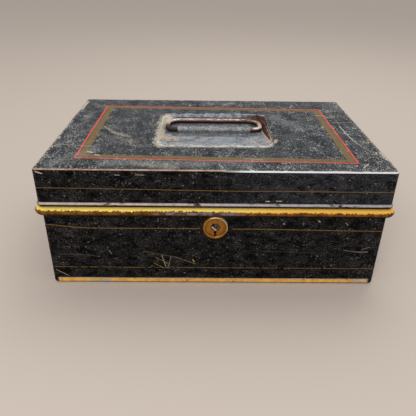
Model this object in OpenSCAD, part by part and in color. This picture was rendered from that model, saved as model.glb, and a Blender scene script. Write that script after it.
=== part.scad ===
// Deed box of japanned tin: a wired lid on a wire hinge, a swaged bead,
// a bail handle in a sunk pan and a three-lever lock behind a brass drum.
// Origin under the middle of the box, front towards -Y, long side along X.

/* [Box] */
// Outside width of the lid, along the front
lid_w = 305; // [260:1:350]
// Outside depth of the lid, front to back
lid_d = 210; // [190:1:250]
// Height of the closed box
box_h = 117.4; // [114:0.2:135]
// Thickness of the tinned sheet
sheet = 0.6; // [0.5:0.05:0.7]
// Height of the centre of the lid's edge wire
wire_z = 85.2; // [84:0.2:88]
// Step from the lid's wall in to the body's wall
lid_step = 1.7; // [1.5:0.1:2]
// Outer radius of the upright corners
corner_r = 3.8; // [3.6:0.1:6]

/* [Edge wire, bead and neck] */
// Radius of the iron wire in the lid's edge
wire_r = 1.25; // [1:0.05:1.4]
// Play between the wire and the sheet or strap rolled round it
wire_play = 0.05; // [0.03:0.01:0.08]
// Outer radius of the bead swaged round the body
bead_r = 3.6; // [3.2:0.1:4.2]
// How far the bead stands out from the body's wall
bead_out = 5.8; // [4.8:0.1:6.2]
// Gap between the lid's rolled edge and the bead
bead_gap = 1.2; // [1:0.1:1.8]
// Height of the neck above the bead
neck_h = 15; // [13:0.5:17]
// Air between the lid's rolled edge and the neck
neck_gap = 0.6; // [0.5:0.05:0.8]
// Height of the hem folded in at the top of the neck
hem_h = 6; // [4:0.5:8]
// Outer radius of the bend along the bottom edges
base_bend = 2.6; // [2:0.1:3]
// Outer radius of the bend along the lid's top edges
lid_bend = 1.6; // [1.2:0.1:2.4]
// Width of the flange turned in under the bottom plate
flange_w = 5; // [4:0.5:8]
// Width of the lap behind each upright seam
lap_w = 7; // [5:0.5:10]

/* [Handle pan] */
// Width of the pan's opening in the lid
pan_w = 111; // [108:1:130]
// Front edge of the opening, before the middle of the lid
pan_front = 49; // [40:1:56]
// Back edge of the opening, behind the middle of the lid
pan_back = 47; // [46:0.5:56]
// Corner radius of the opening
pan_corner = 8; // [5:0.5:12]
// Depth of the pan's floor below the lid's top
pan_depth = 7.6; // [7:0.2:9]
// Clear width of the pan's floor at its front fold
fold_w = 84; // [70:1:96]
// Place of the front fold, measured back from the middle of the lid
fold_y = -4; // [-12:0.5:-1]
// Width of the pan's hidden flange
pan_flange = 6; // [4:0.5:9]

/* [Bail handle] */
// Radius of the handle wire
bail_r = 2.5; // [2:0.1:2.7]
// Outside width of the handle
bail_w = 103; // [96:0.5:104]
// Distance from the hinge line to the middle of the hand bar
bail_reach = 28.5; // [24:0.5:30]
// Middle-line radius of the bends beside the hand bar
bail_bend = 13; // [10:0.5:15]
// Middle-line radius of the bends beside the sleeve
bail_toe = 7; // [6:0.5:8]
// Hinge line of the handle, behind the middle of the lid
bail_y = 11; // [9:0.5:13]
// Air under the wire when the handle lies in the pan
bail_air = 0.3; // [0.25:0.05:0.5]
// Radial play of the wire in its sleeve
bail_play = 0.05; // [0.03:0.01:0.09]
// Length of the sleeve over the handle's ends
sleeve_w = 76; // [60:1:80]
// Length of each handle end inside the sleeve
bail_grip = 20; // [14:1:26]
// Width of each foot of the sleeve, clinched under the pan
sleeve_foot = 5; // [4:0.5:7]

/* [Hinges] */
// Distance of each hinge from the middle of the back
hinge_x = 75; // [60:1:100]
// Width of a hinge strap
strap_w = 26; // [20:1:32]
// Thickness of the strap, single
strap_t = 0.7; // [0.5:0.05:0.75]
// Air beside and above the strap in the lid's window
window_air = 1.2; // [0.8:0.1:2]
// Height of the hinge rivets above the table
hinge_rivet_z = 64; // [60:1:68]
// Distance between the two rivets of a hinge
hinge_rivet_gap = 14; // [10:1:16]
// Radius of a hinge rivet's shank
rivet_r = 1.5; // [1.2:0.1:1.8]
// Height of the strap's lower end above the table
strap_end_z = 57; // [52:1:58]

/* [Lock] */
// Height of the keyhole above the table
key_z = 63; // [61:0.5:63.5]
// Outer radius of the brass drum
drum_r = 11; // [10.5:0.1:11.4]
// Height of the drum's rim in front of the body
drum_h = 3.2; // [2.8:0.1:3.4]
// Thickness of the drum's floor
drum_floor = 1.4; // [1.2:0.1:1.8]
// Radius of the turning barrel
barrel_r = 4.1; // [3.8:0.1:4.3]
// Running play of the barrel
barrel_play = 0.05; // [0.03:0.01:0.08]
// Width of the keyhole's lower slot
key_slot = 2.2; // [1.8:0.1:2.6]
// Depth of the keyhole's lower slot below the barrel's middle
key_drop = 8.6; // [8:0.1:8.8]
// Clock angle of the barrel's slot, turned left from the top
barrel_turn = 45; // [30:1:60]
// Radius of the pin that the barrel turns round
pin_r = 1; // [0.8:0.1:1.2]
// Width of the lock case
case_w = 60; // [58:1:68]
// Height of the lock case
case_h = 46; // [45:0.5:47]
// Top of the lock case below the top of the neck
case_drop = 2.5; // [2:0.1:3]
// Wall thickness of the lock case and its cap
case_t = 1.2; // [1:0.1:1.4]
// Depth inside the lock case
case_depth = 9.7; // [9.6:0.1:11]
// Thickness of the bolt
bolt_t = 2.2; // [2:0.1:2.3]
// Height of the bolt's lower edge above the middle of the keyhole
bolt_rise = 6; // [5.8:0.1:6.4]
// Height of the bolt
bolt_h = 11; // [10.5:0.1:11.5]
// Height of the fingers above the top of the bolt
finger_rise = 4.5; // [4.4:0.1:4.8]
// Height of a finger of the bolt
finger_h = 4; // [3.5:0.1:4.5]
// Travel of the bolt
bolt_travel = 7; // [6:0.5:7]
// Thickness of a lever
lever_t = 1.1; // [0.9:0.05:1.1]
// Air between neighbouring plates in the lock
plate_air = 0.3; // [0.25:0.05:0.35]
// Number of levers
lever_count = 3; // [3:1:3]
// Radius of the post that the levers turn on
post_r = 2.2; // [2:0.1:2.4]
// Distance of the post from the left side of the case
post_in = 12; // [11:0.5:13]
// Radius of a lever's heel round the post
heel_r = 6; // [5.6:0.1:6.2]
// Radius of the key's sweep that the levers and the bolt leave free
belly_r = 7.6; // [7.4:0.1:7.8]
// Distance of the bolt's stump from the middle of the lock
stump_x = 13; // [12.5:0.5:14]
// Radius of the bolt's stump
stump_r = 1.4; // [1.2:0.1:1.5]
// Distance of the bolt's guide stud from the middle of the lock
guide_x = 8; // [7.5:0.5:8.5]
// Radius of the bolt's guide stud
guide_r = 1.6; // [1.4:0.1:1.7]
// Thickness of a lever's leaf spring
leaf_t = 0.4; // [0.3:0.05:0.45]
// Radius of the screws that hold the cap
screw_r = 1.4; // [1.2:0.1:1.5]
// Running play of the levers and the bolt
lock_play = 0.08; // [0.05:0.01:0.1]
// Angle through which a lever drops
lever_drop = 4; // [3:0.5:4]
// Distance of each link from the middle of the lock
link_x = 12; // [11.5:0.5:13]
// Thickness of a link
link_t = 2; // [1.6:0.1:2.2]
// Width of the web round the eye of a link
link_web = 1.4; // [1.2:0.1:1.5]
// Height of the arm that carries each link over the neck
arm_h = 5.5; // [5:0.5:6]
// Width of the plate that carries the links
link_plate_w = 44; // [36:1:60]
// Height of the plate that carries the links
link_plate_h = 11; // [8:0.5:12]
// Thickness of the plate that carries the links
link_plate_t = 1; // [0.8:0.1:1.2]

/* [Hidden] */
$fn = 64;
japan = "#1c1d20";
tin = "#8f8d86";
brass = "#a9762f";
steel = "#6f6a64";
rust = "#6b4534";
eps = 0.01;
fit = 0.05;

// Plan sizes of the body and heights of its wall
body_w = lid_w - 2 * lid_step;
body_d = lid_d - 2 * lid_step;
roll_in = wire_r + wire_play;
roll_r = roll_in + sheet;
bead_z = wire_z - roll_r - bead_gap - bead_r;
bead_top = bead_z + bead_r;
bead_flat = bead_out - bead_r;
neck_top = bead_top + neck_h;
neck_in = sheet + roll_r + neck_gap - lid_step;
hem_fold = 0.1;
hem_t = 2 * sheet + hem_fold;
neck_y = body_d / 2 - neck_in - sheet;
wall_in_y = body_d / 2 - sheet;
hinge_y = lid_d / 2 - sheet;
seam_mitre = base_bend + flange_w + 4;

// Pan and handle
pan_floor_z = box_h - pan_depth;
bail_z = pan_floor_z + bail_r + bail_air;
bail_x = bail_w / 2 - bail_r;
bail_bore = bail_r + bail_play;
sleeve_r = bail_bore + sheet;
side_air = 0.6;
toe_air = 3.5;
bar_air = 0.8;
shoulder_x = bail_w / 2 + side_air;
shoulder_y = bail_y - bail_r - toe_air;
floor_back = bail_y + bail_reach + bail_r + bar_air;

// Drum and barrel
drum_pin_r = 0.9;
drum_pin_ring = drum_r - 2.9;
shank_r = barrel_r + 1.5;
collar_r = barrel_r + 1.3;

// Lock, with its plates counted from the front wall inwards
notch_air = 0.3;
boss_r = 3;
case_front = -neck_y;
case_top = neck_top - case_drop;
case_bottom = case_top - case_h;
case_in = case_front + case_t;
cap_y = case_in + case_depth;
barrel_front = -body_d / 2 - drum_floor + 0.3;
barrel_back = cap_y - 0.4;
lever_pitch = lever_t + plate_air;
stack_back = cap_y - 0.5;
lever_y0 = stack_back - lever_count * lever_pitch + plate_air;
bolt_y = lever_y0 - plate_air - bolt_t;
bolt_low = key_z + bolt_rise;
bolt_high = bolt_low + bolt_h;
post_x = post_in - case_w / 2;
post_z = bolt_low + 0.45 * bolt_h;
guide_z = bolt_low + 0.73 * bolt_h;
stump_z = bolt_low + 0.55 * bolt_h;
gate_air = 0.2;
lever_top = bolt_high + 1.2;
lever_bottom = bolt_low + 0.2;
screw_in = 2 * boss_r;
screw_l = 3.5 * screw_r;
post_screw_l = 2.2 * screw_r;

// Links of the lid, each with an eye round a finger of the bolt
finger_low = bolt_high + finger_rise;
finger_air = 0.6;
eye_air = 0.7;
slot_air = 0.7;
swing_air = 1.3;
link_low = finger_low - eye_air - link_web;
link_y = bolt_y - eye_air - link_web;
link_depth = bolt_t + 2 * (eye_air + link_web);
arm_low = neck_top + 2;
arm_top = arm_low + arm_h;

// Rounded rectangle in plan
module plan(w, d, r) {
    square([w - 2 * r, d], center = true);
    square([w, d - 2 * r], center = true);
    for (sx = [-1, 1], sy = [-1, 1])
        translate([sx * (w / 2 - r), sy * (d / 2 - r)]) circle(r);
}

// Ring cut to the quarter that lies towards (sx, sy)
module quarter_ring(outer, inner, sx, sy) {
    intersection() {
        difference() {
            circle(outer);
            circle(inner);
        }
        translate([sx > 0 ? 0 : -outer, sy > 0 ? 0 : -outer]) square(outer);
    }
}

// A wall section carried round a rectangle with rounded corners.
// The section has x outward from the wall's outer face and y upward.
module wall_sweep(w, d, r) {
    for (k = [0 : 3])
        rotate([0, 0, 90 * k])
            translate([0, (k % 2 == 0 ? d : w) / 2, 0])
                rotate([90, 0, 90])
                    linear_extrude((k % 2 == 0 ? w : d) - 2 * r, center = true)
                        children();
    for (k = [0 : 3])
        translate([(k == 0 || k == 3 ? 1 : -1) * (w / 2 - r),
                   (k < 2 ? 1 : -1) * (d / 2 - r), 0])
            rotate([0, 0, 90 * k])
                rotate_extrude(angle = 90)
                    translate([r, 0]) children();
}

// Body wall: bottom bend, flat wall, bead, step and hemmed neck
module body_section() {
    translate([-base_bend, base_bend])
        quarter_ring(base_bend, base_bend - sheet, 1, -1);
    translate([-sheet, base_bend])
        square([sheet, bead_z - bead_r + sheet - base_bend]);
    translate([-sheet, bead_z - bead_r])
        square([sheet + bead_flat, sheet]);
    translate([bead_flat, bead_z]) {
        quarter_ring(bead_r, bead_r - sheet, 1, 1);
        quarter_ring(bead_r, bead_r - sheet, 1, -1);
    }
    translate([-neck_in - sheet, bead_top - sheet])
        square([neck_in + sheet + bead_flat, sheet]);
    translate([-neck_in - sheet, bead_top - sheet])
        square([sheet, neck_h + sheet - hem_t / 2]);
    translate([-neck_in - hem_t, neck_top - hem_h])
        square([hem_t, hem_h - hem_t / 2]);
    translate([-neck_in - hem_t / 2, neck_top - hem_t / 2]) circle(hem_t / 2);
}

// Lid wall: top bend, flat wall and the edge rolled round its wire
module lid_section() {
    translate([-lid_bend, box_h - lid_bend])
        quarter_ring(lid_bend, lid_bend - sheet, 1, 1);
    translate([-sheet, wire_z + roll_in])
        square([sheet, box_h - lid_bend - wire_z - roll_in]);
    translate([-sheet, wire_z])
        difference() {
            circle(roll_r);
            circle(roll_in);
        }
}

// Walls of the body with the flange turned in under the bottom plate
module body_walls() {
    wall_sweep(body_w, body_d, corner_r) body_section();
    linear_extrude(sheet)
        difference() {
            plan(body_w - 2 * base_bend, body_d - 2 * base_bend, corner_r - base_bend);
            square([body_w, body_d] - 2 * (base_bend + flange_w) * [1, 1], center = true);
        }
}

// Plan of the front sheet: the front and the right end, to the two seams
module front_half() {
    x1 = body_w / 2 - corner_r;
    y1 = body_d / 2 - corner_r;
    x2 = body_w / 2 - seam_mitre;
    y2 = body_d / 2 - seam_mitre;
    translate([0, 0, -1])
        linear_extrude(box_h)
            polygon([[-body_w, -body_d], [body_w, -body_d], [body_w, y1], [x1, y1],
                     [x2, y2], [-x2, -y2], [-x1, -y1], [-body_w, -y1]]);
}

// Joggled lap inside the seam beside the front left corner
module seam_lap() {
    low = base_bend + 1;
    high = bead_z - bead_r - 1;
    x1 = -body_w / 2 + corner_r;
    y1 = -body_d / 2 + corner_r;
    translate([-body_w / 2 + sheet, y1 - eps, low])
        cube([sheet, lap_w + eps, high - low]);
    translate([x1, y1, low])
        rotate([0, 0, 180])
            rotate_extrude(angle = 40)
                translate([corner_r - 2 * sheet, 0]) square([sheet + eps, high - low]);
}

// Keyhole: the barrel's hole and the slot below it, seen from the front
module keyhole(r) {
    circle(r);
    translate([-key_slot / 2, -key_drop]) square([key_slot, key_drop]);
}

// Places a profile drawn in x and z on a plane facing the front.
// It is as thick as t and runs backwards from y.
module facing_front(y, t) {
    translate([0, y + t, 0]) rotate([90, 0, 0]) linear_extrude(t) children();
}

module drum_pin_places() {
    for (a = [30, 150, 210])
        translate([drum_pin_ring * cos(a), key_z + drum_pin_ring * sin(a)]) children();
}

module body_front_sheet() {
    color(japan)
        union() {
            difference() {
                intersection() {
                    body_walls();
                    front_half();
                }
                facing_front(-body_d / 2 - 1, 3) {
                    translate([0, key_z]) keyhole(shank_r + fit);
                    drum_pin_places() circle(drum_pin_r + fit);
                }
                translate([-case_w / 2 - notch_air, case_front, neck_top - hem_h - notch_air])
                    cube([case_w + 2 * notch_air, hem_t, hem_h + 1]);
            }
            seam_lap();
        }
}

module strap_places() {
    for (s = [-1, 1]) translate([s * hinge_x, 0, 0]) children();
}

module hinge_rivet_places() {
    strap_places()
        for (s = [-1, 1])
            translate([s * hinge_rivet_gap / 2, 0, hinge_rivet_z]) children();
}

module body_back_sheet() {
    color(japan)
        union() {
            difference() {
                body_walls();
                front_half();
                strap_places()
                    translate([-strap_w / 2 - fit, neck_y - 2, wire_z - strap_t - fit])
                        cube([strap_w + 2 * fit, 4 + sheet, 2 * (strap_t + fit)]);
                hinge_rivet_places()
                    translate([0, body_d / 2 + 1, 0])
                        rotate([90, 0, 0]) cylinder(r = rivet_r, h = 3);
            }
            rotate([0, 0, 180]) seam_lap();
        }
}

module body_bottom() {
    inset = base_bend + 0.1;
    color(tin)
        translate([0, 0, sheet])
            linear_extrude(sheet)
                plan(body_w - 2 * inset, body_d - 2 * inset, corner_r - base_bend + 0.2);
}

// Outline of the pan's opening, grown by g
module pan_rim(g) {
    translate([0, (pan_back - pan_front) / 2])
        plan(pan_w + 2 * g, pan_front + pan_back + 2 * g, pan_corner + g);
}

// Outline of the pan's floor, grown by g: narrow at the front fold, wide beside the handle
module pan_floor(g) {
    nose_r = 5;
    heel_r = 3;
    hull() {
        for (s = [-1, 1]) {
            translate([s * (fold_w / 2 - nose_r), fold_y + nose_r]) circle(nose_r + g, $fn = 32);
            translate([s * (shoulder_x - nose_r), shoulder_y + nose_r])
                circle(nose_r + g, $fn = 32);
            translate([s * (shoulder_x - heel_r), floor_back - heel_r])
                circle(heel_r + g, $fn = 32);
        }
    }
}

// Solid between the opening and the floor, grown by g and let down by dz
module pan_hollow(g, dz) {
    skin = 0.02;
    hull() {
        translate([0, 0, box_h - sheet - skin]) linear_extrude(skin) pan_rim(g, $fn = 32);
        translate([0, 0, pan_floor_z - dz]) linear_extrude(skin) pan_floor(g);
    }
}

module handle_pan() {
    color(japan)
        difference() {
            union() {
                translate([0, 0, box_h - 2 * sheet])
                    linear_extrude(sheet) pan_rim(pan_flange);
                pan_hollow(sheet, sheet);
            }
            pan_hollow(0, 0);
            translate([0, 0, box_h - sheet - 0.1]) linear_extrude(1) pan_rim(0, $fn = 32);
            for (s = [-1, 1])
                translate([0, bail_y + s * (bail_bore + sheet / 2), pan_floor_z])
                    cube([sleeve_w + 2 * fit, sheet + 2 * fit, 3], center = true);
        }
}

module handle_sleeve() {
    foot_z = pan_floor_z - 2 * sheet;
    color(japan)
        translate([-sleeve_w / 2, 0, 0])
            rotate([90, 0, 90])
                linear_extrude(sleeve_w)
                    union() {
                        translate([bail_y, bail_z]) {
                            quarter_ring(sleeve_r, bail_bore, 1, 1);
                            quarter_ring(sleeve_r, bail_bore, -1, 1);
                        }
                        for (s = [-1, 1]) {
                            translate([bail_y + s * (bail_bore + sheet / 2), (bail_z + foot_z) / 2])
                                square([sheet, bail_z - foot_z], center = true);
                            translate([bail_y + s * (bail_bore + sleeve_foot / 2), foot_z + sheet / 2])
                                square([sleeve_foot, sheet], center = true);
                        }
                    }
}

// One half of the bail: an end in the sleeve, two bends, an arm and half of the bar
module bail_half() {
    toe_x = bail_x - bail_toe;
    start_x = sleeve_w / 2 - bail_grip;
    bar_y = bail_y + bail_reach;
    translate([start_x, bail_y, 0]) rotate([0, 90, 0]) cylinder(r = bail_r, h = toe_x - start_x);
    translate([toe_x, bail_y + bail_toe, 0])
        rotate([0, 0, -90])
            rotate_extrude(angle = 90) translate([bail_toe, 0]) circle(bail_r);
    translate([bail_x, bail_y + bail_toe, 0])
        rotate([-90, 0, 0]) cylinder(r = bail_r, h = bail_reach - bail_toe - bail_bend);
    translate([bail_x - bail_bend, bar_y - bail_bend, 0])
        rotate_extrude(angle = 90) translate([bail_bend, 0]) circle(bail_r);
    translate([0, bar_y, 0]) rotate([0, 90, 0]) cylinder(r = bail_r, h = bail_x - bail_bend);
}

module bail_handle() {
    color(rust)
        translate([0, 0, bail_z])
            union() {
                bail_half();
                mirror([1, 0, 0]) bail_half();
            }
}

module lid_shell() {
    window_h = roll_r + window_air;
    color(japan)
        difference() {
            union() {
                wall_sweep(lid_w, lid_d, corner_r) lid_section();
                translate([0, 0, box_h - sheet])
                    linear_extrude(sheet)
                        plan(lid_w - 2 * lid_bend, lid_d - 2 * lid_bend, corner_r - lid_bend);
            }
            translate([0, 0, box_h - 2 * sheet]) linear_extrude(3 * sheet) pan_rim(0);
            strap_places()
                translate([0, hinge_y, wire_z])
                    cube([strap_w + 2 * window_air, 4 * roll_r, 2 * window_h], center = true);
        }
}

module lid_edge_wire() {
    color(steel)
        wall_sweep(lid_w, lid_d, corner_r)
            translate([-sheet, wire_z]) circle(wire_r);
}

// Side view of a strap: an eye round the wire, a doubled tongue through the neck,
// and a doubled leaf that joggles out to the wall below the bead
module strap_side() {
    loop_r = roll_in + strap_t;
    leaf = 2 * strap_t;
    joggle_top = bead_z - bead_r + 1.2;
    joggle_low = joggle_top - 3;
    translate([hinge_y, wire_z])
        difference() {
            circle(loop_r);
            circle(roll_in);
        }
    translate([neck_y - leaf, wire_z - strap_t])
        square([hinge_y - roll_in - neck_y + leaf - 0.15, leaf]);
    polygon([[neck_y - leaf, wire_z + strap_t], [neck_y - leaf, joggle_top - 0.6],
             [wall_in_y - leaf, joggle_low - 0.6], [wall_in_y - leaf, strap_end_z],
             [wall_in_y, strap_end_z], [wall_in_y, joggle_low], [neck_y, joggle_top],
             [neck_y, wire_z + strap_t]]);
}

module hinge_straps() {
    color(tin)
        difference() {
            strap_places()
                translate([-strap_w / 2, 0, 0])
                    rotate([90, 0, 90]) linear_extrude(strap_w) strap_side();
            hinge_rivet_places()
                translate([0, body_d / 2 + 1, 0])
                    rotate([90, 0, 0]) cylinder(r = rivet_r, h = 6);
        }
}

// Rivet through the body wall and the strap, with a domed head on each side
module hinge_rivets() {
    head_r = 2 * rivet_r;
    head_h = 0.8 * rivet_r;
    dome_r = (head_r * head_r + head_h * head_h) / (2 * head_h);
    grip = sheet + 2 * strap_t;
    color(japan)
        hinge_rivet_places()
            translate([0, body_d / 2, 0])
                rotate([-90, 0, 0])
                    rotate_extrude()
                        union() {
                            translate([0, -grip]) square([rivet_r, grip]);
                            intersection() {
                                translate([0, head_h - dome_r]) circle(dome_r);
                                square([head_r, head_h]);
                            }
                            intersection() {
                                translate([0, dome_r - head_h - grip]) circle(dome_r);
                                translate([0, -grip - head_h]) square([head_r, head_h]);
                            }
                        }
}

// Shallow brass cup with a rounded rim and a shank through the wall
module key_drum() {
    rim_r = 1.2;
    shank = case_in + body_d / 2;
    color(brass)
        difference() {
            translate([0, -body_d / 2, key_z])
                rotate([90, 0, 0])
                    rotate_extrude()
                        union() {
                            square([drum_r - rim_r, drum_floor]);
                            translate([drum_r - 2 * rim_r, 0]) square([2 * rim_r, drum_h - rim_r]);
                            translate([drum_r - rim_r, drum_h - rim_r]) circle(rim_r);
                            translate([0, -shank]) square([shank_r, shank + eps]);
                        }
            translate([0, -body_d / 2 - drum_h, key_z])
                rotate([-90, 0, 0]) cylinder(r = barrel_r + barrel_play, h = drum_h + shank + 1);
            facing_front(-body_d / 2 - drum_h, drum_h + shank + 1)
                translate([-key_slot / 2, key_z - key_drop]) square([key_slot, key_drop]);
            facing_front(-body_d / 2 - drum_floor / 2, drum_floor)
                drum_pin_places() circle(drum_pin_r);
        }
}

module drum_pins() {
    front = -body_d / 2 - drum_floor / 2;
    color(brass)
        facing_front(front, case_in + 0.4 - front)
            drum_pin_places() circle(drum_pin_r);
}

module low_screw_places() {
    for (s = [-1, 1])
        translate([s * (case_w / 2 - screw_in), case_bottom + screw_in]) children();
}
module screw_places() {
    low_screw_places() children();
    translate([post_x, post_z]) children();
}

// Case: a front plate with four sides, two screw bosses and the bolt's guide stud
module lock_case() {
    color(brass)
        difference() {
            union() {
                facing_front(case_front, case_t + case_depth)
                    difference() {
                        translate([-case_w / 2, case_bottom]) square([case_w, case_h]);
                        translate([case_t - case_w / 2, case_bottom + case_t])
                            square([case_w - 2 * case_t, case_h - 2 * case_t]);
                    }
                facing_front(case_front, case_t)
                    translate([-case_w / 2, case_bottom]) square([case_w, case_h]);
                facing_front(case_in - eps, case_depth + eps) low_screw_places() circle(boss_r);
                facing_front(case_in - eps, bolt_y + bolt_t - case_in)
                    translate([guide_x, guide_z]) circle(guide_r);
            }
            facing_front(case_front - 1, case_t + 2) {
                translate([0, key_z]) keyhole(shank_r + fit);
                drum_pin_places() circle(drum_pin_r + fit);
                translate([post_x, post_z]) circle(post_r - 0.6);
            }
            facing_front(cap_y - screw_l - 1, screw_l + 2) low_screw_places() circle(screw_r);
            for (s = [-1, 1])
                translate([s * link_x - link_t / 2 - slot_air, link_y - notch_air,
                           case_top - 2 * case_t])
                    cube([link_t + 2 * slot_air, link_depth + notch_air + swing_air,
                          3 * case_t]);
        }
}

module lock_cap() {
    color(brass)
        facing_front(cap_y, case_t)
            difference() {
                translate([-case_w / 2, case_bottom]) square([case_w, case_h]);
                screw_places() circle(screw_r);
                translate([0, key_z]) circle(pin_r);
            }
}

// Slotted cheese-head screws: two in the case's bosses and one in the post
module cap_screws() {
    head_r = 1.85 * screw_r;
    head_h = 0.9 * screw_r;
    slit = 0.4 * screw_r;
    color(steel)
        difference() {
            union() {
                facing_front(cap_y - screw_l, case_t + screw_l + eps)
                    low_screw_places() circle(screw_r);
                facing_front(cap_y - post_screw_l, case_t + post_screw_l + eps)
                    translate([post_x, post_z]) circle(screw_r);
                facing_front(cap_y + case_t, head_h) screw_places() circle(head_r);
            }
            facing_front(cap_y + case_t + head_h - slit, 2 * slit)
                screw_places() square([3 * head_r, slit], center = true);
        }
}

module lever_post() {
    color(steel)
        difference() {
            union() {
                facing_front(case_in, case_depth) translate([post_x, post_z]) circle(post_r);
                facing_front(case_front, case_t + eps)
                    translate([post_x, post_z]) circle(post_r - 0.6);
            }
            facing_front(cap_y - post_screw_l, post_screw_l + 1)
                translate([post_x, post_z]) circle(screw_r);
        }
}

module key_pin() {
    front = barrel_front + 0.8;
    color(steel)
        facing_front(front, cap_y + case_t - front) translate([0, key_z]) circle(pin_r);
}

// Barrel with a collar inside the case, bored for the pin and slotted for the key
module lock_barrel() {
    slot_w = key_slot - 0.2;
    color(steel)
        difference() {
            union() {
                facing_front(barrel_front, barrel_back - barrel_front)
                    translate([0, key_z]) circle(barrel_r);
                facing_front(case_in + 0.15, 1) translate([0, key_z]) circle(collar_r);
            }
            facing_front(barrel_front - 1, barrel_back - barrel_front + 2)
                translate([0, key_z]) {
                    circle(pin_r + 0.5);
                    rotate(barrel_turn) translate([-slot_w / 2, 0]) square([slot_w, 8]);
                }
        }
}

// Bolt with its talon, forked tail, guide slot and two fingers for the links
module lock_bolt() {
    tail_x = post_x - bolt_travel;
    head_x = stump_x + 2 * stump_r;
    riser_w = finger_h;
    finger_l = bolt_travel + riser_w + eye_air;
    talon_w = 1.14 * bolt_travel;
    talon_h = 0.33 * bolt_h;
    fork_h = post_r + lock_play;
    guide_h = guide_r + lock_play;
    color(steel)
        facing_front(bolt_y, bolt_t)
            difference() {
                union() {
                    translate([tail_x, bolt_low]) square([head_x - tail_x, bolt_h]);
                    for (s = [-1, 1])
                        translate([s * link_x - link_t / 2 - finger_air - finger_l, 0]) {
                            translate([0, bolt_high - eps])
                                square([riser_w, finger_rise + finger_h + eps]);
                            translate([0, finger_low]) square([finger_l, finger_h]);
                        }
                }
                translate([-talon_w / 2, bolt_low - 1]) square([talon_w, talon_h + 1]);
                translate([0, bolt_low + talon_h]) circle(stump_r);
                translate([tail_x - 1, post_z - fork_h])
                    square([post_x - tail_x + 1, 2 * fork_h]);
                translate([post_x, post_z]) circle(fork_h);
                translate([guide_x - bolt_travel, guide_z - guide_h])
                    square([bolt_travel, 2 * guide_h]);
                for (x = [guide_x - bolt_travel, guide_x])
                    translate([x, guide_z]) circle(guide_h);
                translate([stump_x, stump_z]) circle(stump_r - 0.4);
            }
}

module bolt_stump() {
    color(brass)
        union() {
            facing_front(bolt_y, bolt_t) translate([stump_x, stump_z]) circle(stump_r - 0.4);
            facing_front(bolt_y + bolt_t, stack_back - bolt_y - bolt_t)
                translate([stump_x, stump_z]) circle(stump_r);
        }
}

// Lever: a round heel on the post, a belly over the key and a window with two pockets
module lever_shape() {
    nose = stump_x + bolt_travel + 3.5 * stump_r;
    gate = stump_r + gate_air;
    drop = (stump_x + bolt_travel - post_x) * sin(lever_drop) + gate_air;
    difference() {
        union() {
            translate([post_x, post_z]) circle(heel_r);
            translate([post_x, lever_bottom]) square([nose - post_x, lever_top - lever_bottom]);
        }
        translate([post_x, post_z]) circle(post_r + lock_play);
        translate([0, key_z]) circle(belly_r);
        translate([stump_x - gate, stump_z - gate]) square([bolt_travel + 2 * gate, 2 * gate]);
        for (x = [stump_x, stump_x + bolt_travel])
            translate([x - gate, stump_z - gate]) square([2 * gate, 2 * gate + drop]);
    }
}

function lever_y(i) = lever_y0 + i * lever_pitch;

module lever(i) {
    color(brass) facing_front(lever_y(i), lever_t) lever_shape();
}
module lever_1() { lever(0); }
module lever_2() { lever(1); }
module lever_3() { lever(2); }

// One leaf spring over each lever, soldered to the left side of the case
module lever_springs() {
    left = case_t - case_w / 2;
    tip = stump_x - 2 * stump_r;
    foot_w = 2.5 * leaf_t;
    foot_h = 10 * leaf_t;
    leaf_low = lever_top + plate_air;
    root_low = leaf_low + 0.4 * leaf_t;
    color(steel)
        for (i = [0 : lever_count - 1])
            facing_front(lever_y(i) + 0.1, lever_t - 0.2)
                polygon([[left, root_low], [tip, leaf_low], [tip, leaf_low + leaf_t],
                         [left + foot_w, root_low + leaf_t],
                         [left + foot_w, lever_top + foot_h], [left, lever_top + foot_h]]);
}

// Plate soldered inside the lid's front, with two links that drop into the lock
module link_plate() {
    lid_in = -lid_d / 2 + sheet;
    arm_y = lid_in + link_plate_t - eps;
    color(steel)
        union() {
            facing_front(lid_in, link_plate_t)
                translate([-link_plate_w / 2, arm_top - link_plate_h])
                    square([link_plate_w, link_plate_h]);
            for (s = [-1, 1])
                translate([s * link_x - link_t / 2, 0, 0])
                    rotate([90, 0, 90])
                        linear_extrude(link_t)
                            difference() {
                                union() {
                                    translate([arm_y, arm_low])
                                        square([link_y + link_depth - arm_y, arm_h]);
                                    translate([link_y, link_low])
                                        square([link_depth, arm_top - link_low]);
                                }
                                translate([bolt_y - eye_air, finger_low - eye_air])
                                    square([bolt_t, finger_h] + 2 * eye_air * [1, 1]);
                            }
        }
}

body_front_sheet();
body_back_sheet();
body_bottom();
lid_shell();
lid_edge_wire();
handle_pan();
handle_sleeve();
bail_handle();
hinge_straps();
hinge_rivets();
key_drum();
drum_pins();
lock_case();
lock_cap();
cap_screws();
lever_post();
key_pin();
lock_barrel();
lock_bolt();
bolt_stump();
lever_1();
lever_2();
lever_3();
lever_springs();
link_plate();
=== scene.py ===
import math

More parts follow.
